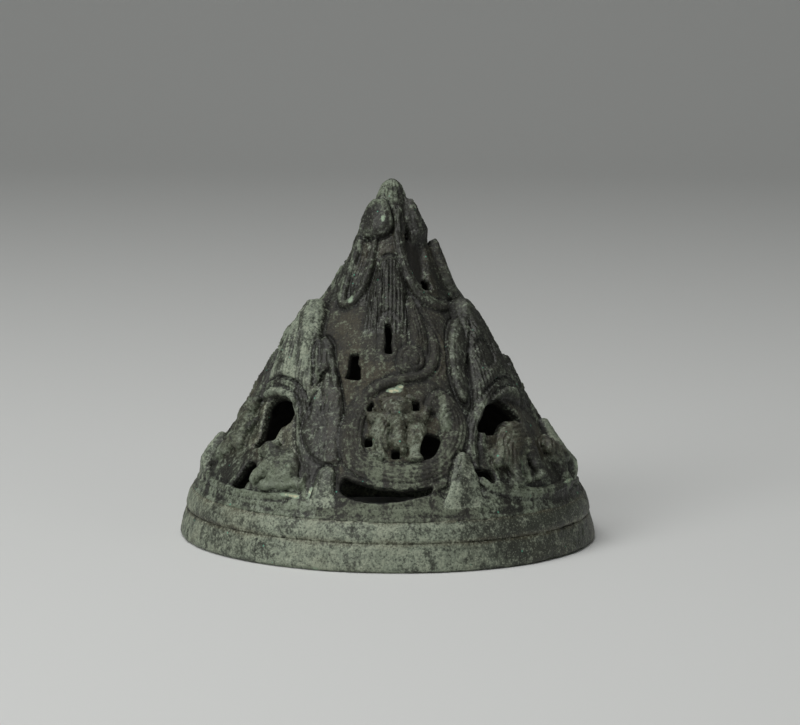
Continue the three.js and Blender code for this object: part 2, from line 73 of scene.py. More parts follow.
def placeCamera(setup):
    rise = math.radians(setup["elevation"])
    eye = Vector((0, -math.cos(rise), math.sin(rise))) * setup["distance"]
    ahead = (Vector(setup["aim"]) - eye).normalized()
    right = ahead.cross(Vector((0, 0, 1))).normalized()
    above = right.cross(ahead)
    roll = math.radians(setup["roll"])
    rolledRight = right * math.cos(roll) + above * math.sin(roll)
    rolledAbove = above * math.cos(roll) - right * math.sin(roll)
    lens = bpy.data.cameras.new("photoCamera")
    lens.lens = setup["lens"]
    lens.sensor_width = setup["sensor"]
    lens.clip_end = setup["clipEnd"]
    camera = bpy.data.objects.new("photoCamera", lens)
    turn = Matrix((rolledRight, rolledAbove, -ahead)).transposed()
    camera.matrix_world = Matrix.Translation(eye * mm) @ turn.to_4x4()
    bpy.context.collection.objects.link(camera)
    bpy.context.scene.camera = camera


placeCamera(photoCamera)
bpy.context.scene.view_settings.view_transform = "Standard"
print("camera placed")


# Shape of the mountain

cover = {
    "rimRadius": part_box("rim")[1][0] / mm,
    "foot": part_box("shoulder_band")[1][2] / mm,  # height of the shoulder, mm
    "height": cadBounds[1][2] / mm,
    "wall": 2.4,
    "bayTop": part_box("bay_wall_front")[1][2] / mm,
    "upperTop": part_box("upper_wall")[1][2] / mm,
    "footInset": 4,  # the mountain starts this far inside the rim's radius
    "tilt": 31,  # degrees that the slope leans back
    "overlap": 0.6,  # mm that the mountain reaches into the shoulder
}
slopeStations = [
    (0, 1), (0.07, 0.945), (0.18, 0.815), (0.4, 0.592), (0.52, 0.457), (0.63, 0.303),
    (0.74, 0.22), (0.85, 0.137), (0.96, 0.055), (1, 0.02),
]
rise = cover["height"] - cover["foot"]
footRadius = cover["rimRadius"] - cover["footInset"]
tiltCos = math.cos(math.radians(cover["tilt"]))
tiltSin = math.sin(math.radians(cover["tilt"]))

# Table of the slope by height in mm. It goes on under the foot and over the top, and is averaged
slopeTable = {"step": 0.1, "above": 12, "flare": 7, "endRadius": -8, "window": 61}
slopeHeights = np.arange(0, cover["height"] + slopeTable["above"], slopeTable["step"])
liftRange = (-9, 14)  # mm off the slope, as far as its foot points are sought


def smoothSlope():
    heights = [cover["foot"] + share * rise for share, _ in slopeStations]
    radii = [radius * footRadius for _, radius in slopeStations]
    heights = [0, *heights, cover["height"] + slopeTable["above"]]
    radii = [footRadius + slopeTable["flare"], *radii, slopeTable["endRadius"]]
    sharp = np.interp(slopeHeights, heights, radii)
    window = slopeTable["window"]
    margin = window // 2
    padded = np.pad(sharp, margin, mode="reflect", reflect_type="odd")
    return np.convolve(padded, np.ones(window) / window, mode="same")[margin:-margin]


slopeRadii = smoothSlope()
slopeLengths = np.concatenate(
    ([0], np.cumsum(np.hypot(np.diff(slopeHeights), np.diff(slopeRadii))))
)


def alongTable(table, heights):
    place = np.clip(heights / slopeTable["step"], 0, len(table) - 1.001)
    low = place.astype(np.int32)
    mix = place - low
    return table[low] * (1 - mix) + table[low + 1] * mix


def slopeRadius(height):
    return alongTable(slopeRadii, np.asarray(height, dtype=float))


def toSlope(x, y, z):
    # Azimuth in degrees, height of the foot point on the slope and lift off the slope
    radius = np.hypot(x, y)
    turn = np.degrees(np.arctan2(x, -y))
    foot = z.copy()
    for _ in range(5):
        lift = (radius - alongTable(slopeRadii, foot)) / tiltCos
        foot = z - np.clip(lift, *liftRange) * tiltSin
    return turn, foot, (radius - alongTable(slopeRadii, foot)) / tiltCos


def turnFrom(turn, at):
    # Degrees from an azimuth, from -180 to 180
    return (turn - at + 540) % 360 - 180


# Noise

latticeSize = 32
lattice = random.random((latticeSize, latticeSize, latticeSize)).astype(np.float32)


def grain(points, size, shift=0.0):
    # Smooth noise from -1 to 1 with lumps of a size in mm
    place = points / size + shift + 1000
    cell = np.floor(place).astype(np.int64)
    mix = place - cell
    mix = mix * mix * (3 - 2 * mix)
    total = 0
    for corner in range(8):
        step = [(corner >> axis) & 1 for axis in range(3)]
        weight = 1
        for axis in range(3):
            weight = weight * (mix[..., axis] if step[axis] else 1 - mix[..., axis])
        index = [(cell[..., axis] + step[axis]) % latticeSize for axis in range(3)]
        total = total + weight * lattice[index[0], index[1], index[2]]
    return total * 2 - 1


def smoothStep(low, high, value):
    share = np.clip((value - low) / (high - low), 0, 1)
    return share * share * (3 - 2 * share)


# Map of the relief

mapStep = 0.15  # degrees across and mm up
mapLow = cover["foot"] - 3
mapTurns = np.arange(-180, 180, mapStep)
mapHeights = np.arange(mapLow, cover["height"] + 1, mapStep)
mapRadii = slopeRadius(mapHeights)
mapLengths = alongTable(slopeLengths, mapHeights)
mapShape = (len(mapHeights), len(mapTurns))
outlineMargin = 9  # mm of the map that an outline is drawn on around it
farAway = 99.0  # mm, more than any distance on the map
relief = np.zeros(mapShape)  # mm off the slope
opening = np.full(mapShape, -9.0)  # mm inside the nearest opening
earth = np.zeros(mapShape)  # share of burial soil
owner = np.zeros(mapShape, dtype=np.int16)  # number of the node in owners
owners = [""]


def ownerOf(name):
    if name not in owners:
        owners.append(name)
    return owners.index(name)


class Patch:
    # Window of the map round a place, with local coordinates in mm

    def __init__(self, turn, reach, low, high):
        rows = np.arange(
            max(int((low - mapLow) / mapStep), 0),
            min(int((high - mapLow) / mapStep) + 1, mapShape[0]),
        )
        first = int(round((turn - reach + 180) / mapStep))
        count = min(int(2 * reach / mapStep) + 1, mapShape[1])
        columns = np.arange(first, first + count)
        self.place = np.ix_(rows, columns % mapShape[1])
        self.turn = (columns * mapStep - 180 - turn)[None, :] * np.ones((len(rows), 1))
        self.height = mapHeights[rows][:, None] * np.ones((1, count))
        self.radius = np.maximum(mapRadii[rows], 1)[:, None]
        self.across = np.radians(self.turn) * self.radius
        self.along = (mapLengths[rows])[:, None] * np.ones((1, count))

    def depth(self, form):
        # Millimetres inside the outline where a form reaches 1
        up = np.gradient(form, axis=0) / np.gradient(self.along, axis=0)
        side = np.gradient(form, axis=1) / (math.radians(mapStep) * self.radius)
        return (1 - form) / np.maximum(np.hypot(up, side), 0.02)


def ridge(distance, centre, width):
    return np.exp(-(((distance - centre) / width) ** 2))


def claim(patch, name, held, cleared, soilKept):
    # Gives a form's place on the map to its node, and clears it of some of the soil
    if name:
        owner[patch.place] = np.where(held, ownerOf(name), owner[patch.place])
    earth[patch.place] *= np.where(cleared, soilKept, 1)


def carvePeak(name, at, foot, tip, half, thick, sway=0, pitch=1.3, power=0.55, lines=1, lift=0, fade=0.22):
    # Leaf-shaped peak: nested outline, domed middle and strata that run up to its tip.
    # Foot and tip are heights, half is its half width, thick how proud it stands, sway the degrees
    # that its tip leans sideways, lift how far the tip leans off the slope, lines its contour lines
    reach = math.degrees(half / slopeRadius(foot)) * 1.5 + abs(sway) + 12
    patch = Patch(at, reach, foot - 5, tip + 3)
    share = (patch.height - foot) / (tip - foot)
    across = np.radians(patch.turn - sway * np.clip(share, 0, 1) ** 1.3) * patch.radius
    form = (np.abs(across) / half) ** (1 / power) + np.maximum(share, 0)
    depth = patch.depth(form)
    wide = half * np.clip(1 - share, 0.002, 1) ** power
    q = across / wide
    dome = np.sqrt(np.clip(1 - q * q, 0, 1))
    footFade = smoothStep(-0.05, fade, share)
    where = np.stack((patch.across, patch.along * 0.5, patch.across * 0), -1)
    lane = across * (1 + 0.35 * np.clip(share, 0, 1) ** 2) + 0.45 * grain(where, 5, at)
    furrow = (0.5 + 0.5 * np.cos(2 * math.pi * lane / pitch)) ** 0.55 - 0.66
    strataFade = smoothStep(0.5, 1.5, depth) * smoothStep(0.02, 0.3, share)
    strataFade = strataFade * smoothStep(-0.9, 0.1, grain(where, 3, at + 4))
    top = thick * (0.3 * smoothStep(0, 0.7, depth) + 0.7 * dome * smoothStep(0, 2.2, depth) ** 0.6)
    top = top * footFade + 0.78 * furrow * strataFade
    for line in range(lines):
        top = top - 0.5 * ridge(depth, 0.9 + 1.2 * line, 0.3) * footFade
    top = top + lift * np.clip(share, 0, 1) ** 2
    inside = (depth > 0) & (share > -0.1)
    shadow = 0.6 * ridge(depth, -0.45, 0.42) * footFade
    relief[patch.place] -= np.where(inside, 0, shadow)
    under = relief[patch.place]
    mixed = under * (1 - 0.7 * footFade) + top
    relief[patch.place] = np.where(inside, mixed, under)
    claim(patch, name, inside & (footFade > 0.3), inside, 0.45)


def carvePeaks(rows, **shared):
    for *shape, settings in rows:
        carvePeak(*shape, **shared, **settings)


def bend(p0, p1, p2, p3, count):
    # Points of a smooth curve from p1 to p2
    return [
        0.5 * (
            2 * p1 + (p2 - p0) * t + (2 * p0 - 5 * p1 + 4 * p2 - p3) * t * t
            + (3 * p1 - p0 - 3 * p2 + p3) * t ** 3
        )
        for t in np.arange(count) / count
    ]


def closedCurve(points, count=6):
    # Smooth closed outline through a few points
    points = np.array(points, dtype=float)
    curve = []
    for k in range(len(points)):
        curve += bend(*(points[(k + j - 1) % len(points)] for j in range(4)), count)
    return np.array(curve)


def openCurve(points, count=8):
    points = np.array(points, dtype=float)
    ends = np.vstack((2 * points[0] - points[1], points, 2 * points[-1] - points[-2]))
    curve = []
    for k in range(len(points) - 1):
        curve += bend(*ends[k:k + 4], count)
    return np.array([*curve, points[-1]])


def outlinePatch(outline, margin):
    # Patch with a margin in mm round an outline, the outline flat in mm and mm along x and y
    turns, heights = outline[:, 0], outline[:, 1]
    middle = (turns.min() + turns.max()) / 2
    low, high = heights.min(), heights.max()
    reach = (turns.max() - turns.min()) / 2 + math.degrees(margin / slopeRadius(high))
    patch = Patch(middle, reach, low - margin, high + margin)
    centre = (low + high) / 2
    radius = slopeRadius(centre)
    above, below = (alongTable(slopeLengths, np.array(centre + side)) for side in (1, -1))
    steep = float(above - below) / 2
    flat = np.stack((np.radians(turns - middle) * radius, (heights - centre) * steep), -1)
    x = np.radians(patch.turn) * radius
    y = (patch.height - centre) * steep
    return patch, flat, x, y


def segmentDistance(x, y, a, b):
    span = b - a
    share = np.clip(((x - a[0]) * span[0] + (y - a[1]) * span[1]) / max(span @ span, 1e-9), 0, 1)
    return np.hypot(x - a[0] - share * span[0], y - a[1] - share * span[1]), share


def insideDepth(outline, wobble):
    # Patch round a closed outline with a wavering edge, with mm inside it and mm along y
    patch, flat, x, y = outlinePatch(outline, outlineMargin)
    nearest = np.full(x.shape, farAway)
    crossings = np.zeros(x.shape, dtype=bool)
    for a, b in zip(flat, np.roll(flat, -1, axis=0)):
        nearest = np.minimum(nearest, segmentDistance(x, y, a, b)[0])
        if a[1] != b[1]:
            hit = (a[1] > y) != (b[1] > y)
            crossings ^= hit & (x < (b[0] - a[0]) * (y - a[1]) / (b[1] - a[1]) + a[0])
    depth = np.where(crossings, nearest, -nearest)
    depth = depth + wobble * grain(np.stack((x, y, x * 0), -1), 2.2, float(flat[:, 0].sum()))
    return patch, depth, y


def alongCurve(points, margin, fade):
    # Patch round an open curve, with mm from it, side of it and a share that fades at its ends
    patch, flat, x, y = outlinePatch(openCurve(points), margin)
    nearest = np.full(x.shape, farAway)
    side = np.zeros(x.shape)
    along = np.zeros(x.shape)
    for k in range(len(flat) - 1):
        distance, share = segmentDistance(x, y, flat[k], flat[k + 1])
        span = flat[k + 1] - flat[k]
        turned = np.sign((x - flat[k][0]) * span[1] - (y - flat[k][1]) * span[0])
        closer = distance < nearest
        nearest = np.where(closer, distance, nearest)
        side = np.where(closer, turned, side)
        along = np.where(closer, (k + share) / (len(flat) - 1), along)
    return patch, nearest, side, smoothStep(0, fade, along) * smoothStep(1, 1 - fade, along)


def cutOpening(points, wobble=0.21, sharp=False, lip=0.0):
    # Cuts an opening with a slightly ragged edge, as wax cut by hand leaves it
    outline = np.array(points, dtype=float) if sharp else closedCurve(points)
    patch, depth, _ = insideDepth(outline, wobble)
    opening[patch.place] = np.maximum(opening[patch.place], depth)
    relief[patch.place] += lip * ridge(depth, -0.9, 0.6)


def creases(points, offsets, width, tall, fade=0.12):
    # Ridges or, below zero, grooves that run side by side along a curve
    margin = max(abs(v) for v in offsets) + width * 3
    patch, nearest, side, ends = alongCurve(points, margin, fade)
    for offset in offsets:
        relief[patch.place] += tall * ridge(nearest * side, offset, width) * ends


def raiseBand(name, points, width, tall, grooves=(0,), fade=0.08, groove=0.4, fill=0.35):
    # Rounded band along an open curve, such as a cloud scroll, with grooves along it
    patch, nearest, side, ends = alongCurve(points, width + 3, fade)
    wide = width / 2 * (0.45 + 0.55 * ends)
    q = nearest / wide
    under = relief[patch.place]
    top = tall * (0.35 + 0.65 * ends) * np.clip(1 - q ** 2.4, 0, 1) ** 0.6
    for offset in grooves:
        top = top - groove * ridge(nearest * side, offset, 0.28) * ends
    inside = q < 1
    shade = 0.3 * ridge(nearest - wide, 0.35, 0.4) * ends
    relief[patch.place] = np.where(inside, np.maximum(under * fill, under * fill + top), under - shade)
    claim(patch, name, inside, inside, 0.4)


def swell(
    name, points, tall, soft=2.5, lines=(0.8,), line=0.28, edge=0.25, shadow=0.35, fill=0.3, lean=0.0, rest=0,
):
    # Rounded form inside a closed outline, with contour lines that follow its edge.
    # It leans off the slope towards its top, and over a rest in mm it grows out of what is below
    patch, depth, y = insideDepth(closedCurve(points), 0.12)
    share = np.clip(depth / soft, 0, 1)
    dome = np.sqrt(1 - (1 - share) ** 2)
    inside = depth > 0
    above = y - y[inside].min()
    height = above / max(np.ptp(y[inside]), 1e-6)
    grown = smoothStep(0, rest, above) if rest else 1
    top = tall * (edge * smoothStep(0, 0.45, depth) + (1 - edge) * dome) + lean * np.clip(height, 0, 1)
    for place in lines:
        top = top - line * ridge(depth, place, 0.27)
    under = relief[patch.place]
    kept = 1 - (1 - fill) * grown
    shade = shadow * ridge(depth, -0.4, 0.4) * grown
    relief[patch.place] = np.where(inside, under * kept + top * grown, under - shade)
    claim(patch, name, inside, inside, 0.5)


def sink(points, deep, soft, soil=0.6):
    # Sunk floor inside a closed outline
    patch, depth, _ = insideDepth(closedCurve(points), 0.12)
    share = smoothStep(0, soft, depth)
    floor = -deep + 0.25 * relief[patch.place]
    relief[patch.place] = relief[patch.place] * (1 - share) + floor * share
    earth[patch.place] = np.maximum(earth[patch.place], soil * share)


def streak(at, half, low, high, pitch, tall):
    # Fine upright furrows over a stretch of wall
    patch = Patch(at, half + 4, low - 2, high + 2)
    where = np.stack((patch.across, patch.along, patch.across * 0), -1)
    wave = np.cos(2 * math.pi * (patch.across + 0.5 * grain(where, 5, at)) / pitch)
    keep = smoothStep(half + 2, half - 3, np.abs(patch.turn)) * smoothStep(low - 1, low + 2, patch.height)
    keep = keep * smoothStep(high + 1, high - 3, patch.height)
    keep = keep * smoothStep(-0.5, 0.4, grain(where, 4.5, at + 9))
    relief[patch.place] += tall * wave * keep


def turned(form, turn, proud=1.0):
    # Form moved round by an angle, with its height made more or less proud
    form = {**form, "points": [(x + turn, y) for x, y in form["points"]]}
    return {**form, "tall": form["tall"] * proud} if "tall" in form else form


# Bays between the foot peaks, as the solids have them. Curves are azimuths and heights
frontFeet = [-78, -21, 27, 80]
hiddenPitch = (360 + frontFeet[0] - frontFeet[3]) / 4
feet = frontFeet + [frontFeet[3] + step * hiddenPitch for step in (1, 2, 3)]
bayNames = ["front_left", "front", "front_right", "right", "back_right", "back_left", "left"]
bays = {
    name: {"from": start, "to": end, "middle": (start + end) / 2}
    for name, start, end in zip(bayNames, feet, feet[1:] + [feet[0] + 360])
}


def layGround():
    # Walls of the bays and of the upper mountain, with a slow swell
    angle = np.radians(mapTurns)[None, :]
    where = np.stack((
        mapRadii[:, None] * np.sin(angle), -mapRadii[:, None] * np.cos(angle),
        mapHeights[:, None] * np.ones((1, mapShape[1])),
    ), -1)
    relief[:] = 0.3 * grain(where, 11) + 0.2 * grain(where, 4.2, 7)
    # Fine strokes of the wax tool that run up the slope
    strokes = np.stack((
        mapRadii[:, None] * angle, mapLengths[:, None] * 0.14 + angle * 0, angle + mapRadii[:, None] * 0,
    ), -1)
    relief[:] += 0.2 * grain(strokes, 1.3) + 0.16 * grain(strokes, 2.6, 5)
    flat = 1 - smoothStep(cover["foot"] + 0.6, cover["foot"] + 4, mapHeights)
    relief[:] = relief * (1 - flat[:, None])
    earth[:] = 0.4 + 0.35 * grain(where, 14, 3)
    for name, bay in bays.items():
        turns = (mapTurns[None, :] - bay["from"]) % 360
        inside = (turns < bay["to"] - bay["from"]) & (mapHeights[:, None] < cover["bayTop"])
        owner[inside] = ownerOf("bay_wall_" + name)
    owner[mapHeights >= cover["bayTop"]] = ownerOf("upper_wall")
    owner[mapHeights >= cover["upperTop"]] = ownerOf("summit_wall")


upperFurrows = [
    {"at": 0, "half": 34, "low": 50, "high": 76, "pitch": 1.5, "tall": 0.12},
    {"at": 180, "half": 150, "low": 50, "high": 78, "pitch": 1.6, "tall": 0.16},
]
# On the right of the summit, with its double contour
ovalHollow = {
    "floor": {
        "points": [
            (24, 86.5), (21, 80.5), (25, 75.2), (36, 71.6), (50, 74), (60, 79.5), (68, 85.5),
            (62, 90.4), (42, 91.4),
        ],
        "deep": 1.7, "soft": 1.3, "soil": 0.3,
    },
    "contour": {
        "points": [(28, 86), (26, 80.5), (29, 76.6), (38, 74), (50, 77), (58, 82), (62, 86.4)],
        "offsets": (0,), "width": 0.4, "tall": 0.55, "fade": 0.05,
    },
    "frame": {
        "points": [(62, 68.6), (48, 68), (35, 70.6), (24, 75.4), (16.5, 81.6), (13, 88), (18, 93), (34, 95.6)],
        "width": 2.8, "tall": 1.15, "grooves": (-0.6, 0.3),
    },
    "fold": {
        "points": [(84, 74), (78, 79), (80, 85), (88, 90)], "offsets": (-0.6, 0.7), "width": 0.45, "tall": 0.5,
    },
    "slit": {"points": [(42, 75), (47, 75.6), (51.4, 74), (47, 72.4), (41.6, 73)], "wobble": 0.12},
}
# On the left of the summit, and its like round the back
hangingLoop = {
    "places": [(0, 1.3), (-46, 0.3), (190, 1.5), (262, 1.4)],  # degrees round and mm proud
    "band": {
        "points": [
            (-64, 92), (-58, 86.6), (-57, 80.4), (-57, 74.5), (-51, 69.6), (-41, 68.4), (-33, 71.4),
            (-28.5, 76), (-27, 81), (-28, 86), (-34, 91),
        ],
        "width": 2.3, "grooves": (-0.3,), "groove": 0.3, "fill": 0.2,
    },
    "floor": {
        "points": [(-47, 82), (-50, 76), (-47, 72), (-40, 71.4), (-35, 75), (-35, 81)],
        "deep": 0.4, "soft": 0.8, "soil": 0.2,
    },
    "stem": {"points": [(-43, 72), (-41.5, 78), (-40, 84)], "offsets": (-0.6, 0.6), "width": 0.4, "tall": 0.7},
}
# Node, azimuth, heights of foot and tip, half width, mm proud, and what differs from the usual
summitLobes = [
    ("summit_lobe_left", -118, 82, 93, 5, 1.1, {"pitch": 1.0}),
    ("summit_lobe_back", 168, 80, 94, 6, 1.3, {"pitch": 1.1}),
    ("summit_lobe_right", 70, 85, 97.8, 4.6, 2.2, {"pitch": 1.0}),
]
upperPeaks = [
    ("upper_peak_right", bays["right"]["middle"] - 6.5, 57, 80, 7.4, 1.2, {"power": 0.42, "fade": 0.5}),
    ("upper_peak_left", bays["left"]["middle"] - 6.5, 57, 80, 7.4, 0.7, {"power": 0.42, "fade": 0.5}),
    ("upper_peak_front", -2, 57, 82, 7.6, 1.9, {"power": 0.4, "fade": 0.55}),
]
frontLobe = {
    "lobe": {
        "points": [
            (-76, 87.4), (-84, 91), (-80, 94.6), (-58, 97.2), (-36, 98), (-14, 96.8), (0, 93.6),
            (3, 89.6), (-20, 87), (-50, 86.4),
        ],
        "tall": 2.0, "soft": 2.6, "lines": (0.9,), "line": 0.35, "shadow": 0.9, "lean": 0.5,
    },
    "stem": {
        "points": [(-76, 90), (-71, 87), (-68, 82), (-65, 76), (-61, 70), (-54, 65.4)],
        "width": 2.2, "tall": 0.8, "grooves": (0.2,), "groove": 0.3,
    },
    "fold": {
        "points": [(16, 96), (12, 92), (12, 87)],
        "offsets": (-0.5, 0.5), "width": 0.3, "tall": 0.5, "fade": 0.2,
    },
}


def layUpperMountain():
    for furrows in upperFurrows:
        streak(**furrows)
    sink(**ovalHollow["floor"])
    creases(**ovalHollow["contour"])
    raiseBand("", **ovalHollow["frame"])
    creases(**ovalHollow["fold"])
    cutOpening(**ovalHollow["slit"])
    for turn, tall in hangingLoop["places"]:
        raiseBand("", tall=tall, **turned(hangingLoop["band"], turn))
        sink(**turned(hangingLoop["floor"], turn))
        creases(**turned(hangingLoop["stem"], turn))
    carvePeaks(summitLobes)
    swell("summit_lobe_front_left", **frontLobe["lobe"])
    raiseBand("", **frontLobe["stem"])
    creases(**frontLobe["fold"])
    carvePeaks(upperPeaks, pitch=1.05, lines=2)


# Node, azimuth, height, sway and mirror
backPeaks = [
    ("large_peak_back_right", 155.7, 68, 8, -1), ("large_peak_back_left", 206.2, 67, -8, 1),
]
# Left of the front: a lower ridge, a leaf behind the main ridge and two leaves on its right
leftRange = {
    "peaks": [
        ("", -93, 34, 54.6, 6, 1.0, {"sway": -4, "lift": 1.2, "pitch": 1.6}),
        ("step_leaf_6", -76, 36, 62.2, 6.6, 1.2, {"sway": -12, "lift": 3.1, "pitch": 1.4}),
        (
            "large_peak_front_left", -40, 27, 67.6, 16, 2.6,
            {"sway": -29, "lift": 2.6, "pitch": 1.5, "power": 0.53},
        ),
    ],
    "leaves": {
        "step_leaf_2": {
            "points": [
                (-33.5, 48), (-33, 50.4), (-30, 51.4), (-25.5, 49.6), (-21.4, 45.2), (-18.6, 40.2),
                (-17, 35.6), (-16.4, 30), (-18, 27.4), (-22, 27), (-28, 29), (-33, 32.6), (-35.4, 37.2),
                (-34.4, 42), (-34, 45.4),
            ],
            "tall": 1.3, "soft": 4.5, "lines": (0.6,), "line": 0.4, "shadow": 0.25, "lean": 0.1,
        },
        "step_leaf_1": {
            "points": [
                (-36, 46), (-40.5, 51), (-45.5, 55.4), (-46, 58), (-43, 59.5), (-35.6, 57.6),
                (-29.6, 53), (-24.6, 47.8), (-28, 47.6), (-32, 52), (-35.4, 50),
            ],
            "tall": 1.1, "soft": 1.9, "lines": (0.6,), "line": 0.4, "shadow": 0.8, "lean": 0.4,
        },
    },
    "veins": {
        "step_leaf_2": {
            "points": [(-34.4, 46), (-34, 50), (-30.6, 51.8), (-25.4, 50), (-21.2, 45.4), (-18.2, 39.4)],
            "offsets": (0,), "width": 0.34, "tall": -0.7,
        },
        "step_leaf_1": {
            "points": [(-33, 51.6), (-35.6, 54), (-37, 56.8), (-34, 56.6), (-31.4, 53.8)],
            "offsets": (0,), "width": 0.36, "tall": -0.5,
        },
    },
    "furrows": {"at": -27, "half": 8, "low": 28, "high": 47, "pitch": 1.5, "tall": 0.16},
}
# Right of the front: two ridges behind the main one, a slim leaf on its left and a small knoll
rightRange = {
    "peaks": [
        ("step_leaf_5", 85, 32, 52.2, 6.5, 1.1, {"sway": 6, "lift": 1.2}),
        ("step_leaf_4", 71, 36, 63.6, 7.0, 1.1, {"sway": 15, "lift": 1.7}),
        ("large_peak_front_right", 50, 28, 68.5, 13, 2.6, {"sway": 20, "lift": 2.2, "power": 0.47}),
    ],
    "leaves": {
        "step_leaf_3": {
            "points": [
                (35, 43), (32, 44.6), (31.4, 49.5), (33.6, 55.1), (39, 60.2), (48, 63.4), (56.4, 64.2),
                (59.4, 62.4), (52, 58.7), (45.4, 54.7), (40, 50.6), (38.4, 46.6),
            ],
            "tall": 1.7, "soft": 1.5, "lines": (0.6, 1.5), "line": 0.34, "shadow": 0.55, "lean": 0.8,
        },
        "": {
            "points": [(51, 51), (49.6, 54.6), (54, 57.6), (63, 57.2), (63, 52.6), (57, 50.6)],
            "tall": 0.7, "soft": 0.8, "line": 0.3, "fill": 0.6,
        },
    },
}
backLeaf = ("step_leaf_7", 181, 34, 58, 7, 2.2, {"power": 0.5})


def layBackPeak(name, turn, tip, sway, mirror):
    # Large peak at the back with two lower ones beside it, on its left where the mirror is 1
    carvePeak("", turn - mirror * 26, 30, tip - 14, 8, 1.5, sway=-mirror * 8, lift=1.0)
    carvePeak("", turn - mirror * 16, 32, tip - 6.5, 8.5, 1.9, sway=-mirror * 13, lift=1.6)
    carvePeak(name, turn + mirror * 6, 28, tip, 12.5, 3.0, sway=sway, power=0.46, lift=2.0)


def layLargePeaks():
    for peak in backPeaks:
        layBackPeak(*peak)
    carvePeaks(leftRange["peaks"])
    for name, leaf in leftRange["leaves"].items():
        swell(name, **leaf)
        creases(**leftRange["veins"][name])
    streak(**leftRange["furrows"])
    carvePeaks(rightRange["peaks"])
    for name, leaf in rightRange["leaves"].items():
        swell(name, **leaf)
    carvePeaks([backLeaf])


archRing = {"width": 3.7, "tall": 1.4, "grooves": (-0.95, 0.05, 1.0), "fade": 0.05, "groove": 0.5}
archSill = {"width": 2.2, "tall": 0.8, "groove": 0.25}
archKinds = {
    "left": {
        "floor": [
            (-79, 24), (-78, 31), (-73, 37), (-66, 41), (-57, 43), (-48, 43), (-41, 41), (-36.5, 37),
            (-33.5, 32), (-29, 26.5), (-29, 22.6), (-38, 20.4), (-48, 19.6), (-60, 19.4), (-72, 20.6),
        ],
        "bands": [
            (archRing, [
                (-83, 21), (-81, 27), (-77.5, 33), (-75.5, 38.2), (-69, 42.8), (-59, 45.7), (-48, 45.8),
                (-40.5, 43.9), (-36, 40.8), (-34.5, 37),
            ]),
            (archSill, [(-82, 21), (-73, 18.9), (-62, 18.0), (-50, 17.7), (-38, 18.1), (-29, 19.4)]),
        ],
        "openings": [
            [
                (-58, 42), (-51, 42.6), (-43.6, 41.8), (-41.2, 39.3), (-41.6, 37), (-45, 34.6), (-46, 32),
                (-50, 29.8), (-55.6, 29.1), (-54, 31.4), (-55.4, 33.9), (-57.6, 37), (-60.6, 39.6),
            ],
            [
                (-53.5, 25.2), (-49.4, 25.4), (-46.2, 22.2), (-48.8, 20.6), (-50, 18.9), (-55.8, 18.8),
                (-54.4, 21.4),
            ],
        ],
    },
    "right": {
        "floor": [
            (34, 27), (35.5, 31.5), (39, 36.5), (46, 41), (55, 43.4), (64, 42.6), (74, 39), (82, 32.5),
            (84, 26), (78, 21.6), (68, 19.8), (55, 19.2), (44, 19.8), (36.5, 22),
        ],
        "bands": [
            (archRing, [
                (30.4, 26), (30.6, 31), (34.4, 36.6), (42, 41.8), (52, 45.3), (65, 46.2), (77, 42.4),
                (86, 35.4), (89, 28.9), (87, 22.4), (75, 18.8), (60, 17.8), (46, 18.8), (37, 20.8),
                (32, 23.2), (30.4, 26),
            ]),
        ],
        "openings": [
            [
                (50.6, 42.4), (57, 41.4), (62, 37), (61, 35.2), (56.6, 36.4), (51, 36.9), (44, 34.2),
                (39, 34.5), (36, 35.8), (39, 38.4), (43, 41),
            ],
            [(29, 26), (36, 25.4), (35.2, 22), (32, 23.1)],
        ],
    },
}
archBays = {
    "front_left": ("left", 0), "front_right": ("right", 0),
    "back_right": ("right", bays["back_right"]["middle"] - 56),
    "back_left": ("left", bays["back_left"]["middle"] + 54),
}


def layArch(name, kind, turn):
    arch = archKinds[kind]
    sink(**turned({"points": arch["floor"]}, turn), deep=0.1, soft=1.4)
    for band, points in arch["bands"]:
        raiseBand("bay_wall_" + name, **turned({**band, "points": points}, turn))
    for points in arch["openings"]:
        cutOpening(**turned({"points": points}, turn), lip=0.3)


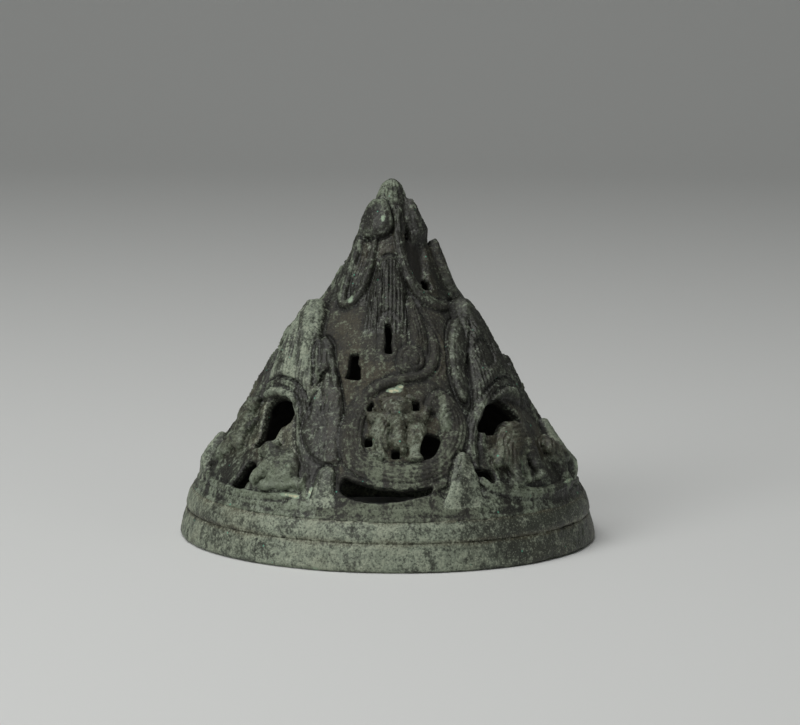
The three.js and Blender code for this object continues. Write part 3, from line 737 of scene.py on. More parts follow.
# Ringed field with a beast, the cloud scroll over it and the slots in the wall above
cloudBay = {
    "proud": {"front": 1.0, "right": 0.45, "left": 0.4},
    "slopeBand": {
        "points": [(-17, 24.6), (-9, 22.8), (0, 21.8), (9, 21.8), (17, 23.6), (23, 27)],
        "width": 3.6, "tall": 0.7, "grooves": (-0.8, 0.4), "groove": 0.18,
    },
    "floor": {
        "points": [
            (-8, 43), (-10, 37), (-9.4, 32.6), (-4.6, 30), (4, 29.2), (12, 30.4), (19, 34), (21, 39),
            (15, 43.6), (3, 46),
        ],
        "deep": 0.1, "soft": 1.3,
    },
    "knob": {
        "points": [
            (15, 41.8), (19, 45.6), (25, 46.4), (30, 43), (31.4, 37), (27, 31.6), (20, 29), (18.6, 33.6),
            (22, 37.4), (20, 40.6),
        ],
        "tall": 1.3, "soft": 2.8, "lines": (0.7, 1.6, 2.5), "line": 0.26,
    },
    "ring": {
        "points": [
            (-10.4, 45.2), (-13.2, 41.4), (-14.4, 37.4), (-14, 33.2), (-11.6, 29.6), (-6.6, 27),
            (0, 25.7), (8, 25.4), (16, 27.2), (22.6, 30.8), (27, 35.4), (28, 40), (25, 43.2), (20, 43.2),
        ],
        "width": 6.4, "tall": 1.45, "grooves": (-2.3, -1.15, 0, 1.15, 2.3), "fade": 0.1, "groove": 0.44,
    },
    "scroll": {
        "points": [
            (-11.4, 44), (-6, 47.4), (0, 49), (8, 50), (17, 50.9), (23, 53.3), (26.8, 57), (27, 61),
            (24, 64.6), (20.6, 66),
        ],
        "width": 2.7, "tall": 1.3, "grooves": (-0.55, 0.45), "groove": 0.3,
    },
    "rays": {
        "points": [(22, 49), (29, 52.6), (31.4, 58), (30.4, 63), (28, 69)],
        "offsets": (-0.7, 0.7), "width": 0.35, "tall": 0.4,
    },
    "curl": {
        "points": [(5, 52.2), (4.4, 55.2), (8, 58), (14, 58.4), (19, 56.4), (18.4, 53.2), (12, 51.4)],
        "tall": 1.0, "soft": 1.8, "lines": (0.7, 1.5), "line": 0.34, "shadow": 0.3,
    },
    "curlLine": {
        "points": [
            (8, 53.4), (7.2, 55.8), (10.4, 57.2), (14.8, 56.9), (16.8, 55), (14.6, 53.3), (11, 53.8),
            (10.8, 55.2), (13.2, 55.6),
        ],
        "offsets": (0,), "width": 0.32, "tall": -0.4,
    },
    "peak": {"foot": 57, "tip": 71, "half": 3.0, "pitch": 0.9, "lines": 0, "power": 0.5, "fade": 0.4},
    "hood": {
        "points": [(-7, 60.5), (-6.6, 64.6), (-0.6, 66.6), (5.8, 64.8), (6.4, 60.5)],
        "width": 1.5, "tall": 0.55, "grooves": (),
    },
}
# Crescent, gap beside the beast, square holes and slots: how each is cut, and its outlines
cloudOpenings = [
    ({"lip": 0.35}, [[
        (-14, 24.4), (-10, 23.6), (-6, 22.8), (-1, 22.1), (6, 21.8), (11, 22.2), (14, 22.4), (13, 21),
        (8, 19.8), (2, 18.9), (-6, 18.5), (-12, 19.6), (-15, 21.4),
    ]]),
    ({}, [[(14.5, 36), (20, 34.8), (19, 32.6), (15.5, 29.9), (12, 29.3), (11, 31.4), (12.6, 34.2)]]),
    ({"wobble": 0.12, "sharp": True, "lip": 0.2}, [
        [(-9.4, 42.4), (-7.6, 43.9), (-6.6, 43.4), (-7, 40.8), (-9, 41)],
        [(9.4, 43.9), (13.2, 43.8), (13, 41.9), (9.6, 42)],
        [(-9, 34.7), (-6, 34.7), (-6, 32.6), (-9, 32.6)],
        [(1, 31.8), (4, 31.8), (4, 29.6), (1, 29.6)],
    ]),
    ({"wobble": 0.24, "sharp": True, "lip": 0.3}, [
        [
            (-3.6, 63.7), (0.9, 63.6), (1.3, 60.4), (0.8, 58.7), (1.6, 56.4), (-2.9, 56.4),
            (-2.3, 58.8), (-3.3, 61),
        ],
        [
            (-22.8, 55.9), (-17, 56.2), (-17, 53.6), (-14.8, 52.4), (-14.2, 49.5), (-21.8, 49.5),
            (-21.2, 51.4), (-21.8, 53),
        ],
    ]),
]


def layCloudBay(name, proud):
    turn = bays[name]["middle"] - bays["front"]["middle"]
    raiseBand("", **turned(cloudBay["slopeBand"], turn))
    sink(**turned(cloudBay["floor"], turn))
    swell("bay_wall_" + name, **turned(cloudBay["knob"], turn, proud))
    raiseBand("bay_wall_" + name, **turned(cloudBay["ring"], turn, proud))
    raiseBand("cloud_scroll_" + name, **turned(cloudBay["scroll"], turn, proud))
    creases(**turned(cloudBay["rays"], turn))
    swell("cloud_scroll_" + name, **turned(cloudBay["curl"], turn, proud))
    creases(**turned(cloudBay["curlLine"], turn))
    carvePeak("small_peak_" + name, at=19 + turn, thick=2.1 * proud, **cloudBay["peak"])
    raiseBand("", **turned(cloudBay["hood"], turn))
    for cut, outlines in cloudOpenings:
        for points in outlines:
            cutOpening(**turned({"points": points}, turn), **cut)


footShapes = {
    "narrow": [
        (-2, 17), (-2.2, 20.4), (-2.4, 23.6), (-1.7, 26), (0.8, 27.1), (3.4, 26), (4.2, 23.4),
        (4.6, 20.4), (5, 17),
    ],
    "broad": [
        (-10.4, 17), (-8.8, 20.6), (-6.8, 24.4), (-4.8, 27.8), (-2.8, 29.8), (-0.4, 30.5), (1.7, 29.4),
        (2.4, 25), (2.2, 20), (2, 17),
    ],
    "low": [(-12, 17), (-10.6, 22), (-8.4, 27), (-5.8, 29.2), (-3, 28), (-0.6, 23.4), (1, 17)],
    "tall": [(-4, 17), (-2.4, 24), (0.6, 31), (3.4, 34.2), (6, 32.4), (7.2, 25), (8, 17)],
}
footPeak = {"soft": 2.0, "lines": (0.7, 1.6), "line": 0.3, "shadow": 0.5, "edge": 0.15, "rest": 7}
footPlaces = [  # shape and mm proud
    ("low", 2.2), ("narrow", 1.3), ("broad", 1.4), ("tall", 2.2),
    ("narrow", 1.9), ("broad", 1.9), ("narrow", 1.9),
]


def layFootPeaks():
    for k, (turn, (shape, proud)) in enumerate(zip(feet, footPlaces)):
        form = turned({**footPeak, "points": footShapes[shape]}, turn)
        swell(f"foot_peak_{k + 1}", tall=proud, lean=0.6 * proud - 0.6, **form)


ledge = {"full": 1.6, "end": 4.6, "level": 0.5, "pitch": 1.4, "brim": 1.0, "groove": 0.35}  # mm


def layLedge():
    # Sloping ledge over the shoulder, with faint lines along it
    patch = Patch(0, 180, cover["foot"] - 2, cover["foot"] + 6)
    where = np.stack((patch.across, patch.along * 4, patch.across * 0), -1)
    keep = smoothStep(cover["foot"] + ledge["end"], cover["foot"] + ledge["full"], patch.height)
    under = relief[patch.place]
    lines = 0.12 * np.cos(2 * math.pi * patch.along / ledge["pitch"])
    level = ledge["level"] + lines + 0.12 * grain(where, 6)
    relief[patch.place] = under + keep * (level - under) * 0.7
    relief[patch.place] -= ledge["groove"] * ridge(patch.height, cover["foot"] + ledge["brim"], 0.5)


layGround()
layUpperMountain()
layLargePeaks()
for name, (kind, turn) in archBays.items():
    layArch(name, kind, turn)
for name, proud in cloudBay["proud"].items():
    layCloudBay(name, proud)
layLedge()
layFootPeaks()
print("relief drawn on", mapShape, "map")


# Figures, in mm: x across, y up the slope, z out of the wall

def ballDistance(x, y, z, place, size, turn):
    dx, dy, dz = x - place[0], y - place[1], z - place[2]
    cos, sin = math.cos(turn), math.sin(turn)
    dx, dy = dx * cos + dy * sin, dy * cos - dx * sin
    near = np.sqrt((dx / size[0]) ** 2 + (dy / size[1]) ** 2 + (dz / size[2]) ** 2)
    far = np.sqrt((dx / size[0] ** 2) ** 2 + (dy / size[1] ** 2) ** 2 + (dz / size[2] ** 2) ** 2)
    return near * (near - 1) / np.maximum(far, 1e-6)


def limbDistance(x, y, z, start, end, thickness):
    sx, sy, sz = (end[k] - start[k] for k in range(3))
    dx, dy, dz = x - start[0], y - start[1], z - start[2]
    share = np.clip((dx * sx + dy * sy + dz * sz) / max(sx * sx + sy * sy + sz * sz, 1e-9), 0, 1)
    near = np.sqrt((dx - share * sx) ** 2 + (dy - share * sy) ** 2 + (dz - share * sz) ** 2)
    return near - thickness[0] - (thickness[1] - thickness[0]) * share


def ball(x, y, z, wide, tall, deep, turn=0):
    return (ballDistance, (x, y, z), (wide, tall, deep), math.radians(turn))


def limb(start, end, thick, thin):
    # Round bar that thins towards its end
    return (limbDistance, start, end, (thick, thin))


squattingBeast = [
    ball(0, 7.6, 1.2, 4.9, 3.4, 2.1), ball(0, 5.9, 2.6, 2.1, 1.5, 1.1),
    ball(-3.9, 9.9, 1.2, 1.5, 1.5, 1.0), ball(4, 9.8, 1.2, 1.5, 1.5, 1.0),
    ball(-1.8, 8.5, 2.9, 0.8, 0.8, 0.6), ball(1.8, 8.5, 2.9, 0.8, 0.8, 0.6),
    limb((0, 4.6, 1.0), (0.4, -5, 0.9), 2.3, 1.8),
    ball(-4.7, -0.9, 0.5, 3.0, 5.0, 1.9, 7), ball(4.9, -1.3, 0.5, 3.1, 5.3, 1.9, -6),
    limb((-1.6, 4, 0.7), (-7.2, 4.2, 0.6), 2.1, 1.6), limb((-7.2, 4.2, 0.6), (-8.6, 7.2, 0.5), 1.6, 1.3),
    limb((1.6, 4, 0.7), (7.4, 4.4, 0.6), 2.1, 1.6), limb((7.4, 4.4, 0.6), (9, 7, 0.5), 1.6, 1.3),
    ball(-5, -6.8, 0.5, 2.5, 1.5, 1.3), ball(4.8, -7.4, 0.5, 2.6, 1.5, 1.3),
]
curledRock = [
    ball(0, 0, 0.2, 3.8, 5.4, 2.0, -14), ball(0.6, 3.4, 0.8, 2.5, 2.4, 1.6),
    ball(-1.6, -2.6, 0.6, 2, 2.4, 1.4),
]
walkingBeast = [
    ball(0.8, 3.6, 0.6, 5.4, 4.4, 2.5, 14), ball(3, 5.8, 1.0, 3.8, 2.8, 2.1, 20),
    ball(-5.2, 0.8, 1.2, 3.1, 2.7, 2.0), ball(-7.1, -0.6, 1.5, 1.8, 1.4, 1.3),
    ball(-4.4, 3.4, 1.5, 1.0, 1.3, 0.8), ball(-5.9, 1.7, 2.9, 0.6, 0.6, 0.45),
    limb((-2.6, 1.6, 1.1), (-3.2, -5.8, 0.7), 1.9, 1.2), limb((-3.2, -6, 0.7), (-4.6, -6.3, 0.8), 1.3, 1.0),
    limb((0.4, 1, 0.6), (0.6, -5.8, 0.3), 1.5, 1.1),
    limb((4, 2.4, 1.1), (4.8, -5.4, 0.7), 2.4, 1.3), limb((4.8, -5.6, 0.7), (3.4, -6.1, 0.8), 1.3, 1.0),
    limb((5.2, 5, 0.7), (8.2, 7.4, 0.5), 1.1, 0.7),
]
sittingBear = [
    ball(0, 0, 0.5, 5.4, 4.6, 2.5, -18), ball(2.4, -2.4, 0.9, 3.6, 3.6, 2.3),
    ball(-4.4, 3.2, 1.3, 2.8, 2.5, 2.0), ball(-6.3, 2.4, 1.7, 1.4, 1.2, 1.1),
    ball(-3.6, 5.3, 1.3, 1.0, 1.0, 0.8), ball(-5, 4.1, 2.9, 0.5, 0.5, 0.45),
    limb((-2.8, -0.4, 1.3), (-5.8, -4.6, 0.9), 1.8, 1.3), limb((1.4, -3.4, 1.3), (-2.2, -5.9, 1.0), 1.9, 1.3),
    limb((4.4, -3.6, 0.6), (7.2, -4.6, 0.5), 1.4, 1.0), limb((7.2, -4.6, 0.5), (7.8, -1.8, 0.5), 1.1, 0.7),
]
kneelingPerson = [
    ball(0.6, 0, 0.6, 3.4, 4.6, 2.2, 12), ball(-0.8, 6, 1.2, 2.3, 2.6, 2.0), ball(-0.7, 8, 1.0, 1.4, 1.0, 1.1),
    ball(-0.9, 5.8, 3.1, 0.4, 0.8, 0.45), limb((-1.9, 6.9, 2.7), (0.1, 6.9, 2.7), 0.35, 0.35),
    limb((0.8, 2.6, 1.1), (4.8, 0.4, 1.2), 1.4, 1.1), limb((4.8, 0.4, 1.2), (5.8, 3, 0.9), 1.1, 0.9),
    limb((-1.6, 2.4, 1.1), (-3.6, -1.4, 1.0), 1.4, 1.1),
    limb((0.4, -3.4, 0.9), (4.2, -5, 0.8), 2.1, 1.4), ball(-3.2, -7.4, 0.3, 2.6, 5.4, 1.6, -34),
    limb((-1.2, -5, 0.9), (-6.6, -11.4, 0.7), 0.8, 0.5), limb((-2.8, -4.4, 0.9), (-8, -10, 0.6), 0.8, 0.5),
    limb((0.4, -6, 0.8), (-4.2, -12, 0.6), 0.8, 0.5),
]
smallAnimal = [
    ball(0, 0, 0.6, 4.2, 3.6, 2.3, -12), ball(-2.6, 2.4, 1.2, 2.3, 2.1, 1.8), ball(-3.9, 1.6, 1.5, 1.1, 1, 0.9),
    ball(-1.9, 4.3, 1.1, 0.8, 0.9, 0.7), limb((-1.6, -1.6, 0.9), (-2.4, -5.2, 0.6), 1.4, 1.1),
    limb((2.2, -1.4, 0.9), (2, -5.2, 0.6), 1.8, 1.2), limb((3.4, 1, 0.6), (5, 3.4, 0.5), 1.1, 0.7),
]

# Azimuth and height of the middle, side that it faces, size and mm that it is sunk into the wall
figureKeys = ("node", "forms", "at", "height", "side", "size", "sunk")
figures = [dict(zip(figureKeys, row)) for row in (
    ("squatting_beast_front", squattingBeast, 3.4, 36.0, 1, 1.0, 0.1),
    ("squatting_beast_front", curledRock, 24.6, 39.5, 1, 0.9, 0.3),
    ("kneeling_person_front_left", kneelingPerson, -68.5, 33.0, 1, 1.06, 0),
    ("sitting_bear_front_left", sittingBear, -37.5, 25.8, 1, 1.16, 0.2),
    ("walking_beast_front_right", walkingBeast, 49, 27.6, 1, 1.2, 0.2),
    ("sitting_bear_front_right", smallAnimal, 74, 25.6, 1, 1.3, 0.2),
    ("squatting_beast_right", squattingBeast, bays["right"]["middle"] + 2, 36.0, 1, 1.0, 1.3),
    ("squatting_beast_left", squattingBeast, bays["left"]["middle"] - 2, 36.0, -1, 1.0, 1.4),
    ("walking_beast_back_right", walkingBeast, bays["back_right"]["middle"] + 2, 26.6, 1, 1.1, 0.2),
    ("walking_beast_back_left", walkingBeast, bays["back_left"]["middle"] - 2, 26.6, -1, 1.1, 0.2),
)]
figureReach = {"across": 40, "up": 16}  # degrees and mm round the middle of a figure
figureFurrow = {"deep": 0.2, "pitch": 1.6}  # mm
freeTips = [
    {"name": "free_tip_right", "at": 89, "foot": 58, "tip": 84.6, "half": 4.4, "lean": 1.4, "thick": 3.1},
    {"name": "free_tip_left", "at": 247, "foot": 55, "tip": 76.6, "half": 3.6, "lean": 0.5, "thick": 1.8},
]


# How far the forms of the mountain run into each other, in mm
blends = {"limb": 0.5, "summit": 0.8, "figure": 0.45, "hollow": 0.4, "opening": 0.5, "tip": 0.4, "tipEdge": 0.8}


def softUnion(a, b, blend):
    mix = np.maximum(blend - np.abs(a - b), 0) / blend
    return np.minimum(a, b) - mix * mix * blend / 4


def softCut(a, b, blend):
    mix = np.maximum(blend - np.abs(a - b), 0) / blend
    return np.maximum(a, b) + mix * mix * blend / 4


def figureDistance(figure, turn, foot, lift):
    height, size = figure["height"], figure["size"]
    x = figure["side"] * np.radians(turnFrom(turn, figure["at"])) * slopeRadius(height) / size
    y = (alongTable(slopeLengths, foot) - alongTable(slopeLengths, np.array(float(height)))) / size
    lift = (lift + figure["sunk"]) / size
    total = np.full(x.shape, 9.0)
    for distance, a, b, c in figure["forms"]:
        total = softUnion(total, distance(x, y, lift, a, b, c), blends["limb"])
    curl = np.hypot(x - 1.4, y + 1) + 0.5 * np.sin(0.8 * x) + 0.25 * y
    furrow = figureFurrow["deep"] * np.cos(2 * math.pi * curl / figureFurrow["pitch"])
    return (total + furrow) * size


def tipDistance(tip, turn, foot, lift):
    share = (foot - tip["foot"]) / (tip["tip"] - tip["foot"])
    across = np.radians(turnFrom(turn, tip["at"])) * slopeRadius(foot)
    wide = tip["half"] * np.clip(1 - share, 0, 1) ** 0.55
    beyond = np.maximum(np.abs(across) - wide, (share - 1) * 20)
    centre = 0.5 + tip["lean"] * np.clip(share, 0, 1) ** 1.2
    slab = np.abs(lift - centre) - tip["thick"] / 2
    return softCut(softCut(slab, beyond, blends["tipEdge"]), -(share + 0.05) * 20, blends["tipEdge"])


def bilinear(table, turn, foot):
    column = (turn + 180) / mapStep
    row = np.clip((foot - mapLow) / mapStep, 0, mapShape[0] - 1.001)
    c = np.floor(column).astype(np.int32)
    r = row.astype(np.int32)
    mixC, mixR = column - c, row - r
    left, right = c % mapShape[1], (c + 1) % mapShape[1]
    low = table[r, left] * (1 - mixC) + table[r, right] * mixC
    high = table[r + 1, left] * (1 - mixC) + table[r + 1, right] * mixC
    return low * (1 - mixR) + high * mixR


summit = {
    "radius": 4.7, "tall": 10.2, "flutes": 15, "deep": 0.28,  # depth of the flutes, mm
    "seat": 5.5, "solid": 11,  # mm under the top: where the wall ends, and where the hollow does
}


def summitDistance(x, y, z):
    angle = np.arctan2(x, -y)
    flute = summit["deep"] * np.cos(summit["flutes"] * angle + 0.6 * np.sin(3 * angle))
    centre = (0, 0, cover["height"] - summit["tall"])
    peak = ballDistance(x, y, z, centre, (summit["radius"], summit["radius"], summit["tall"]), 0)
    return peak - flute * np.clip(np.hypot(x, y) / 3, 0, 1)


def mountainField(x, y, z):
    # Distance-like field of the whole mountain: below zero in the bronze
    turn, foot, lift = toSlope(x, y, z)
    field = np.maximum(lift - bilinear(relief, turn, foot), z - cover["height"] + summit["seat"])
    field = softUnion(field, summitDistance(x, y, z), blends["summit"])
    middle, half = (turn.min() + turn.max()) / 2, (turn.max() - turn.min()) / 2
    low, high = foot.min(), foot.max()
    for figure in figures:
        beside = abs(turnFrom(middle, figure["at"])) < figureReach["across"] + half
        if beside and low - figureReach["up"] < figure["height"] < high + figureReach["up"]:
            field = softUnion(field, figureDistance(figure, turn, foot, lift), blends["figure"])
    hollow = np.maximum(lift + cover["wall"], z - cover["height"] + summit["solid"])
    field = softCut(field, -hollow, blends["hollow"])
    field = softCut(field, bilinear(opening, turn, foot), blends["opening"])
    for tip in freeTips:
        if low - 3 < tip["tip"] and high + 3 > tip["foot"]:
            field = softUnion(field, tipDistance(tip, turn, foot, lift), blends["tip"])
    return np.maximum(field, cover["foot"] - cover["overlap"] - z)


# Volume and meshes

volume = {
    "voxel": 0.37, "block": 20,
    "lifts": (-3.6, 6.6), "values": (-2.9, 3.0),  # mm off the slope that are filled, and kept values
    "crumb": 400,  # faces of the loose crumbs left out, which a ragged edge can shed
    "island": 150,  # faces of a patch too small to be a part of its piece
}


def fillVolume():
    voxel, size = volume["voxel"], volume["block"]
    grid = openvdb.FloatGrid(volume["values"][1])
    grid.transform = openvdb.createLinearTransform(voxelSize=voxel)
    span = size * voxel
    reach = int(math.ceil((footRadius + 6) / span))
    low = int(math.floor((cover["foot"] - 2) / span))
    top = int(math.ceil((cover["height"] + 2) / span))
    halfBlock = span * math.sqrt(3) / 2
    blocks = 0
    for i in range(-reach, reach):
        for j in range(-reach, reach):
            for k in range(low, top):
                centre = np.array([[i + 0.5], [j + 0.5], [k + 0.5]]) * span
                _, _, lift = toSlope(centre[0], centre[1], centre[2])
                if lift[0] > volume["lifts"][1] + halfBlock or lift[0] < volume["lifts"][0] - halfBlock:
                    continue
                axes = [(np.arange(size) + start * size) * voxel for start in (i, j, k)]
                x, y, z = np.meshgrid(*axes, indexing="ij")
                field = mountainField(x, y, z)
                values = np.clip(field, *volume["values"]).astype(np.float32)
                grid.copyFromArray(values, ijk=(i * size, j * size, k * size))
                blocks += 1
    print("volume of", blocks, "blocks at", voxel, "mm")
    return grid


def meshVolume(grid):
    points, triangles, quads = grid.convertToPolygons(isovalue=0, adaptivity=0.03)
    split = np.concatenate((quads[:, [0, 1, 2]], quads[:, [0, 2, 3]])) if len(quads) else quads[:, :3]
    faces = np.concatenate((triangles.astype(np.int64), split.astype(np.int64)))
    return points.astype(float), faces[:, ::-1]


def vertexNormals(points, faces):
    a, b, c = (points[faces[:, k]] for k in range(3))
    facing = np.cross(b - a, c - a)
    normals = np.zeros_like(points)
    for axis in range(3):
        for corner in range(3):
            normals[:, axis] += np.bincount(faces[:, corner], facing[:, axis], len(points))
    return normals / np.maximum(np.linalg.norm(normals, axis=1, keepdims=True), 1e-12)


def islandSizes(picked):
    # How many faces hang together with each face
    used, local = np.unique(picked, return_inverse=True)
    local = local.reshape(-1, 3)
    group = np.arange(len(used))
    while True:
        lowest = group[local].min(axis=1)
        new = group.copy()
        for corner in range(3):
            np.minimum.at(new, local[:, corner], lowest)
        new = new[new]
        if (new == group).all():
            break
        group = new
    root = group[local[:, 0]]
    return np.bincount(root, minlength=len(used))[root]


points, faces = meshVolume(fillVolume())
faces = faces[islandSizes(faces) >= volume["crumb"]]
normals = vertexNormals(points, faces)
turn, foot, lift = toSlope(points[:, 0], points[:, 1], points[:, 2])
outward = np.stack((np.sin(np.radians(turn)), -np.cos(np.radians(turn)), turn * 0), -1)
if np.sum(normals * outward * (lift > -0.5)[:, None]) < 0:
    faces = faces[:, ::-1]
    normals = -normals
# Rough skin that the mould leaves, weaker on the inside
rough = 0.09 * grain(points, 1.1, 5) + 0.06 * grain(points, 0.6, 9) + 0.1 * grain(points, 2.6, 2)
inner = smoothStep(-1.2, -2.0, lift)
points = points + normals * (rough * (1 - 0.5 * inner))[:, None]
normals = vertexNormals(points, faces)
print("mountain has", len(faces), "faces")


# Patina and painted shade, per vertex, each from 0 to 1: pale, earth, the relief mask that paints shade into
# creases and hollows and paints proud places paler, inside, which paints the inner surfaces dark as shade, and
# crust

def softened(table, reach):
    # Map averaged over a window of a reach in mm, three times over
    rows = max(int(reach / mapStep), 1)
    columns = max(int(math.degrees(reach / 35) / mapStep), 1)
    for _ in range(3):
        for axis, count in ((0, rows), (1, columns)):
            mode = "edge" if axis == 0 else "wrap"
            width = [(count + 1, count), (0, 0)] if axis == 0 else [(0, 0), (count + 1, count)]
            total = np.cumsum(np.pad(table, width, mode=mode), axis=axis)
            span = 2 * count + 1
            if axis == 0:
                table = (total[span:] - total[:-span]) / span
            else:
                table = (total[:, span:] - total[:, :-span]) / span
    return table


def spot(turn, foot, at, height, wide, tall):
    away = turnFrom(turn, at) * np.pi / 180 * slopeRadius(height)
    return np.exp(-((away / wide) ** 2) - ((foot - height) / tall) ** 2)


# Places of the pale green and, below zero, the dark patina: azimuth, height, half width and half
# height in mm, strength
patinaSpots = [
    (-64, 55, 14, 16, 0.12), (-46, 60, 5, 7, 0.2), (-28, 38, 9, 11, -0.35), (-22, 66, 12, 8, -0.7),
    (-20, 47, 8, 8, -0.2), (0, 19, 16, 4, 0.2), (4, 28, 20, 5, 0.3), (46, 62, 12, 12, -0.55),
    (-19, 24, 4, 4, -0.4), (-68, 27, 14, 8, 0.3), (-38, 24, 8, 6, 0.15),
    (0, 19, 40, 4, 0.42), (-10, 101, 9, 4, 0.45), (-50, 78, 6, 8, 0.2), (60, 18, 30, 3.5, 0.2),
    (-15, 60, 9, 11, -0.3), (20, 56, 9, 12, -0.3), (42, 82, 12, 9, -0.9), (0, 76, 14, 10, -0.55),
    (58, 55, 15, 18, -0.35), (66, 30, 22, 12, -0.25), (5, 42, 16, 8, -0.1), (24, 38, 5, 6, 0.15),
    (88, 76, 5, 9, 0.2),
    (160, 26, 30, 12, 0.35), (205, 60, 18, 16, 0.35), (250, 70, 12, 12, 0.2), (120, 60, 14, 14, -0.2),
]
# Places of the pale crust, in the same way
crustSpots = [
    (1.5, 46.9, 2.8, 0.8, 1.0), (5, 47.8, 1.5, 0.7, 0.9), (-29, 18.9, 4.5, 0.6, 1.0),
    (-24, 20.2, 0.8, 2.0, 0.8), (84, 20.4, 4, 1.1, 0.9), (70, 18.6, 6, 0.7, 0.8), (-36, 70, 2, 4, 0.5),
    (-16, 91, 1.2, 1.8, 0.62), (160, 24, 7, 3, 0.7), (231, 47, 5, 2.4, 0.6), (48, 25, 1.2, 2.6, 0.6),
    (10, 36, 1.2, 3, 0.4),
]


def paintMountain():
    broad = softened(relief, 2.2)
    fine = softened(relief, 0.9)
    strokes = np.stack((np.radians(turn) * slopeRadius(foot), foot * 0.12, foot * 0), -1)
    pale = 0.21 + 0.16 * grain(points, 9, 1) + 0.48 * grain(strokes, 1.1) + 0.34 * grain(strokes, 2.4, 7)
    pale = pale + 0.4 * smoothStep(22, 16, foot) * smoothStep(75, 20, turn)
    for at, height, wide, tall, strength in patinaSpots:
        pale = pale + strength * spot(turn, foot, at, height, wide, tall)
    crust = np.zeros(len(points))
    for at, height, wide, tall, strength in crustSpots:
        crust = np.maximum(crust, strength * spot(turn, foot, at, height, wide, tall))
    # Painted shade and light: low in creases and hollows, high where the relief stands proud of its softened
    # surroundings
    reliefShade = 0.5 + 0.36 * np.clip(lift - bilinear(broad, turn, foot), -1.6, 1.6)
    reliefShade = reliefShade + 0.95 * np.clip(lift - bilinear(fine, turn, foot), -0.5, 0.4)
    soil = bilinear(earth, turn, foot) * smoothStep(18, 30, foot)
    # Painted shade: the inner surfaces of the hollow lid are painted dark, as the shade inside would leave them
    inside = smoothStep(-0.9, -2.0, lift)
    return {
        "patinaAndShade": np.stack([np.clip(v, 0, 1) for v in (pale, soil, reliefShade, inside)], -1),
        "crust": np.clip(crust, 0, 1),
    }


paint = paintMountain()


# Materials

def linear(code):
    # Linear colour of an sRGB hex code
    values = [int(code[k:k + 2], 16) / 255 for k in (1, 3, 5)]
    return tuple(v / 12.92 if v <= 0.04045 else ((v + 0.055) / 1.055) ** 2.4 for v in values) + (1,)


def perMillimetre(size):
    # Texture scale that gives lumps of a size in mm
    return 1 / (size * mm)


def addNode(tree, kind, settings, links=None):
    # Settings and links go by the name or the number of a socket, or the name of a property
    node = tree.nodes.new("ShaderNode" + kind)
    for key, value in settings.items():
        if isinstance(key, int) or key in node.inputs:
            node.inputs[key].default_value = value
        else:
            setattr(node, key, value)
    for key, source in (links or {}).items():
        output = source if isinstance(source, bpy.types.NodeSocket) else source.outputs[0]
        tree.links.new(output, node.inputs[key])
    return node


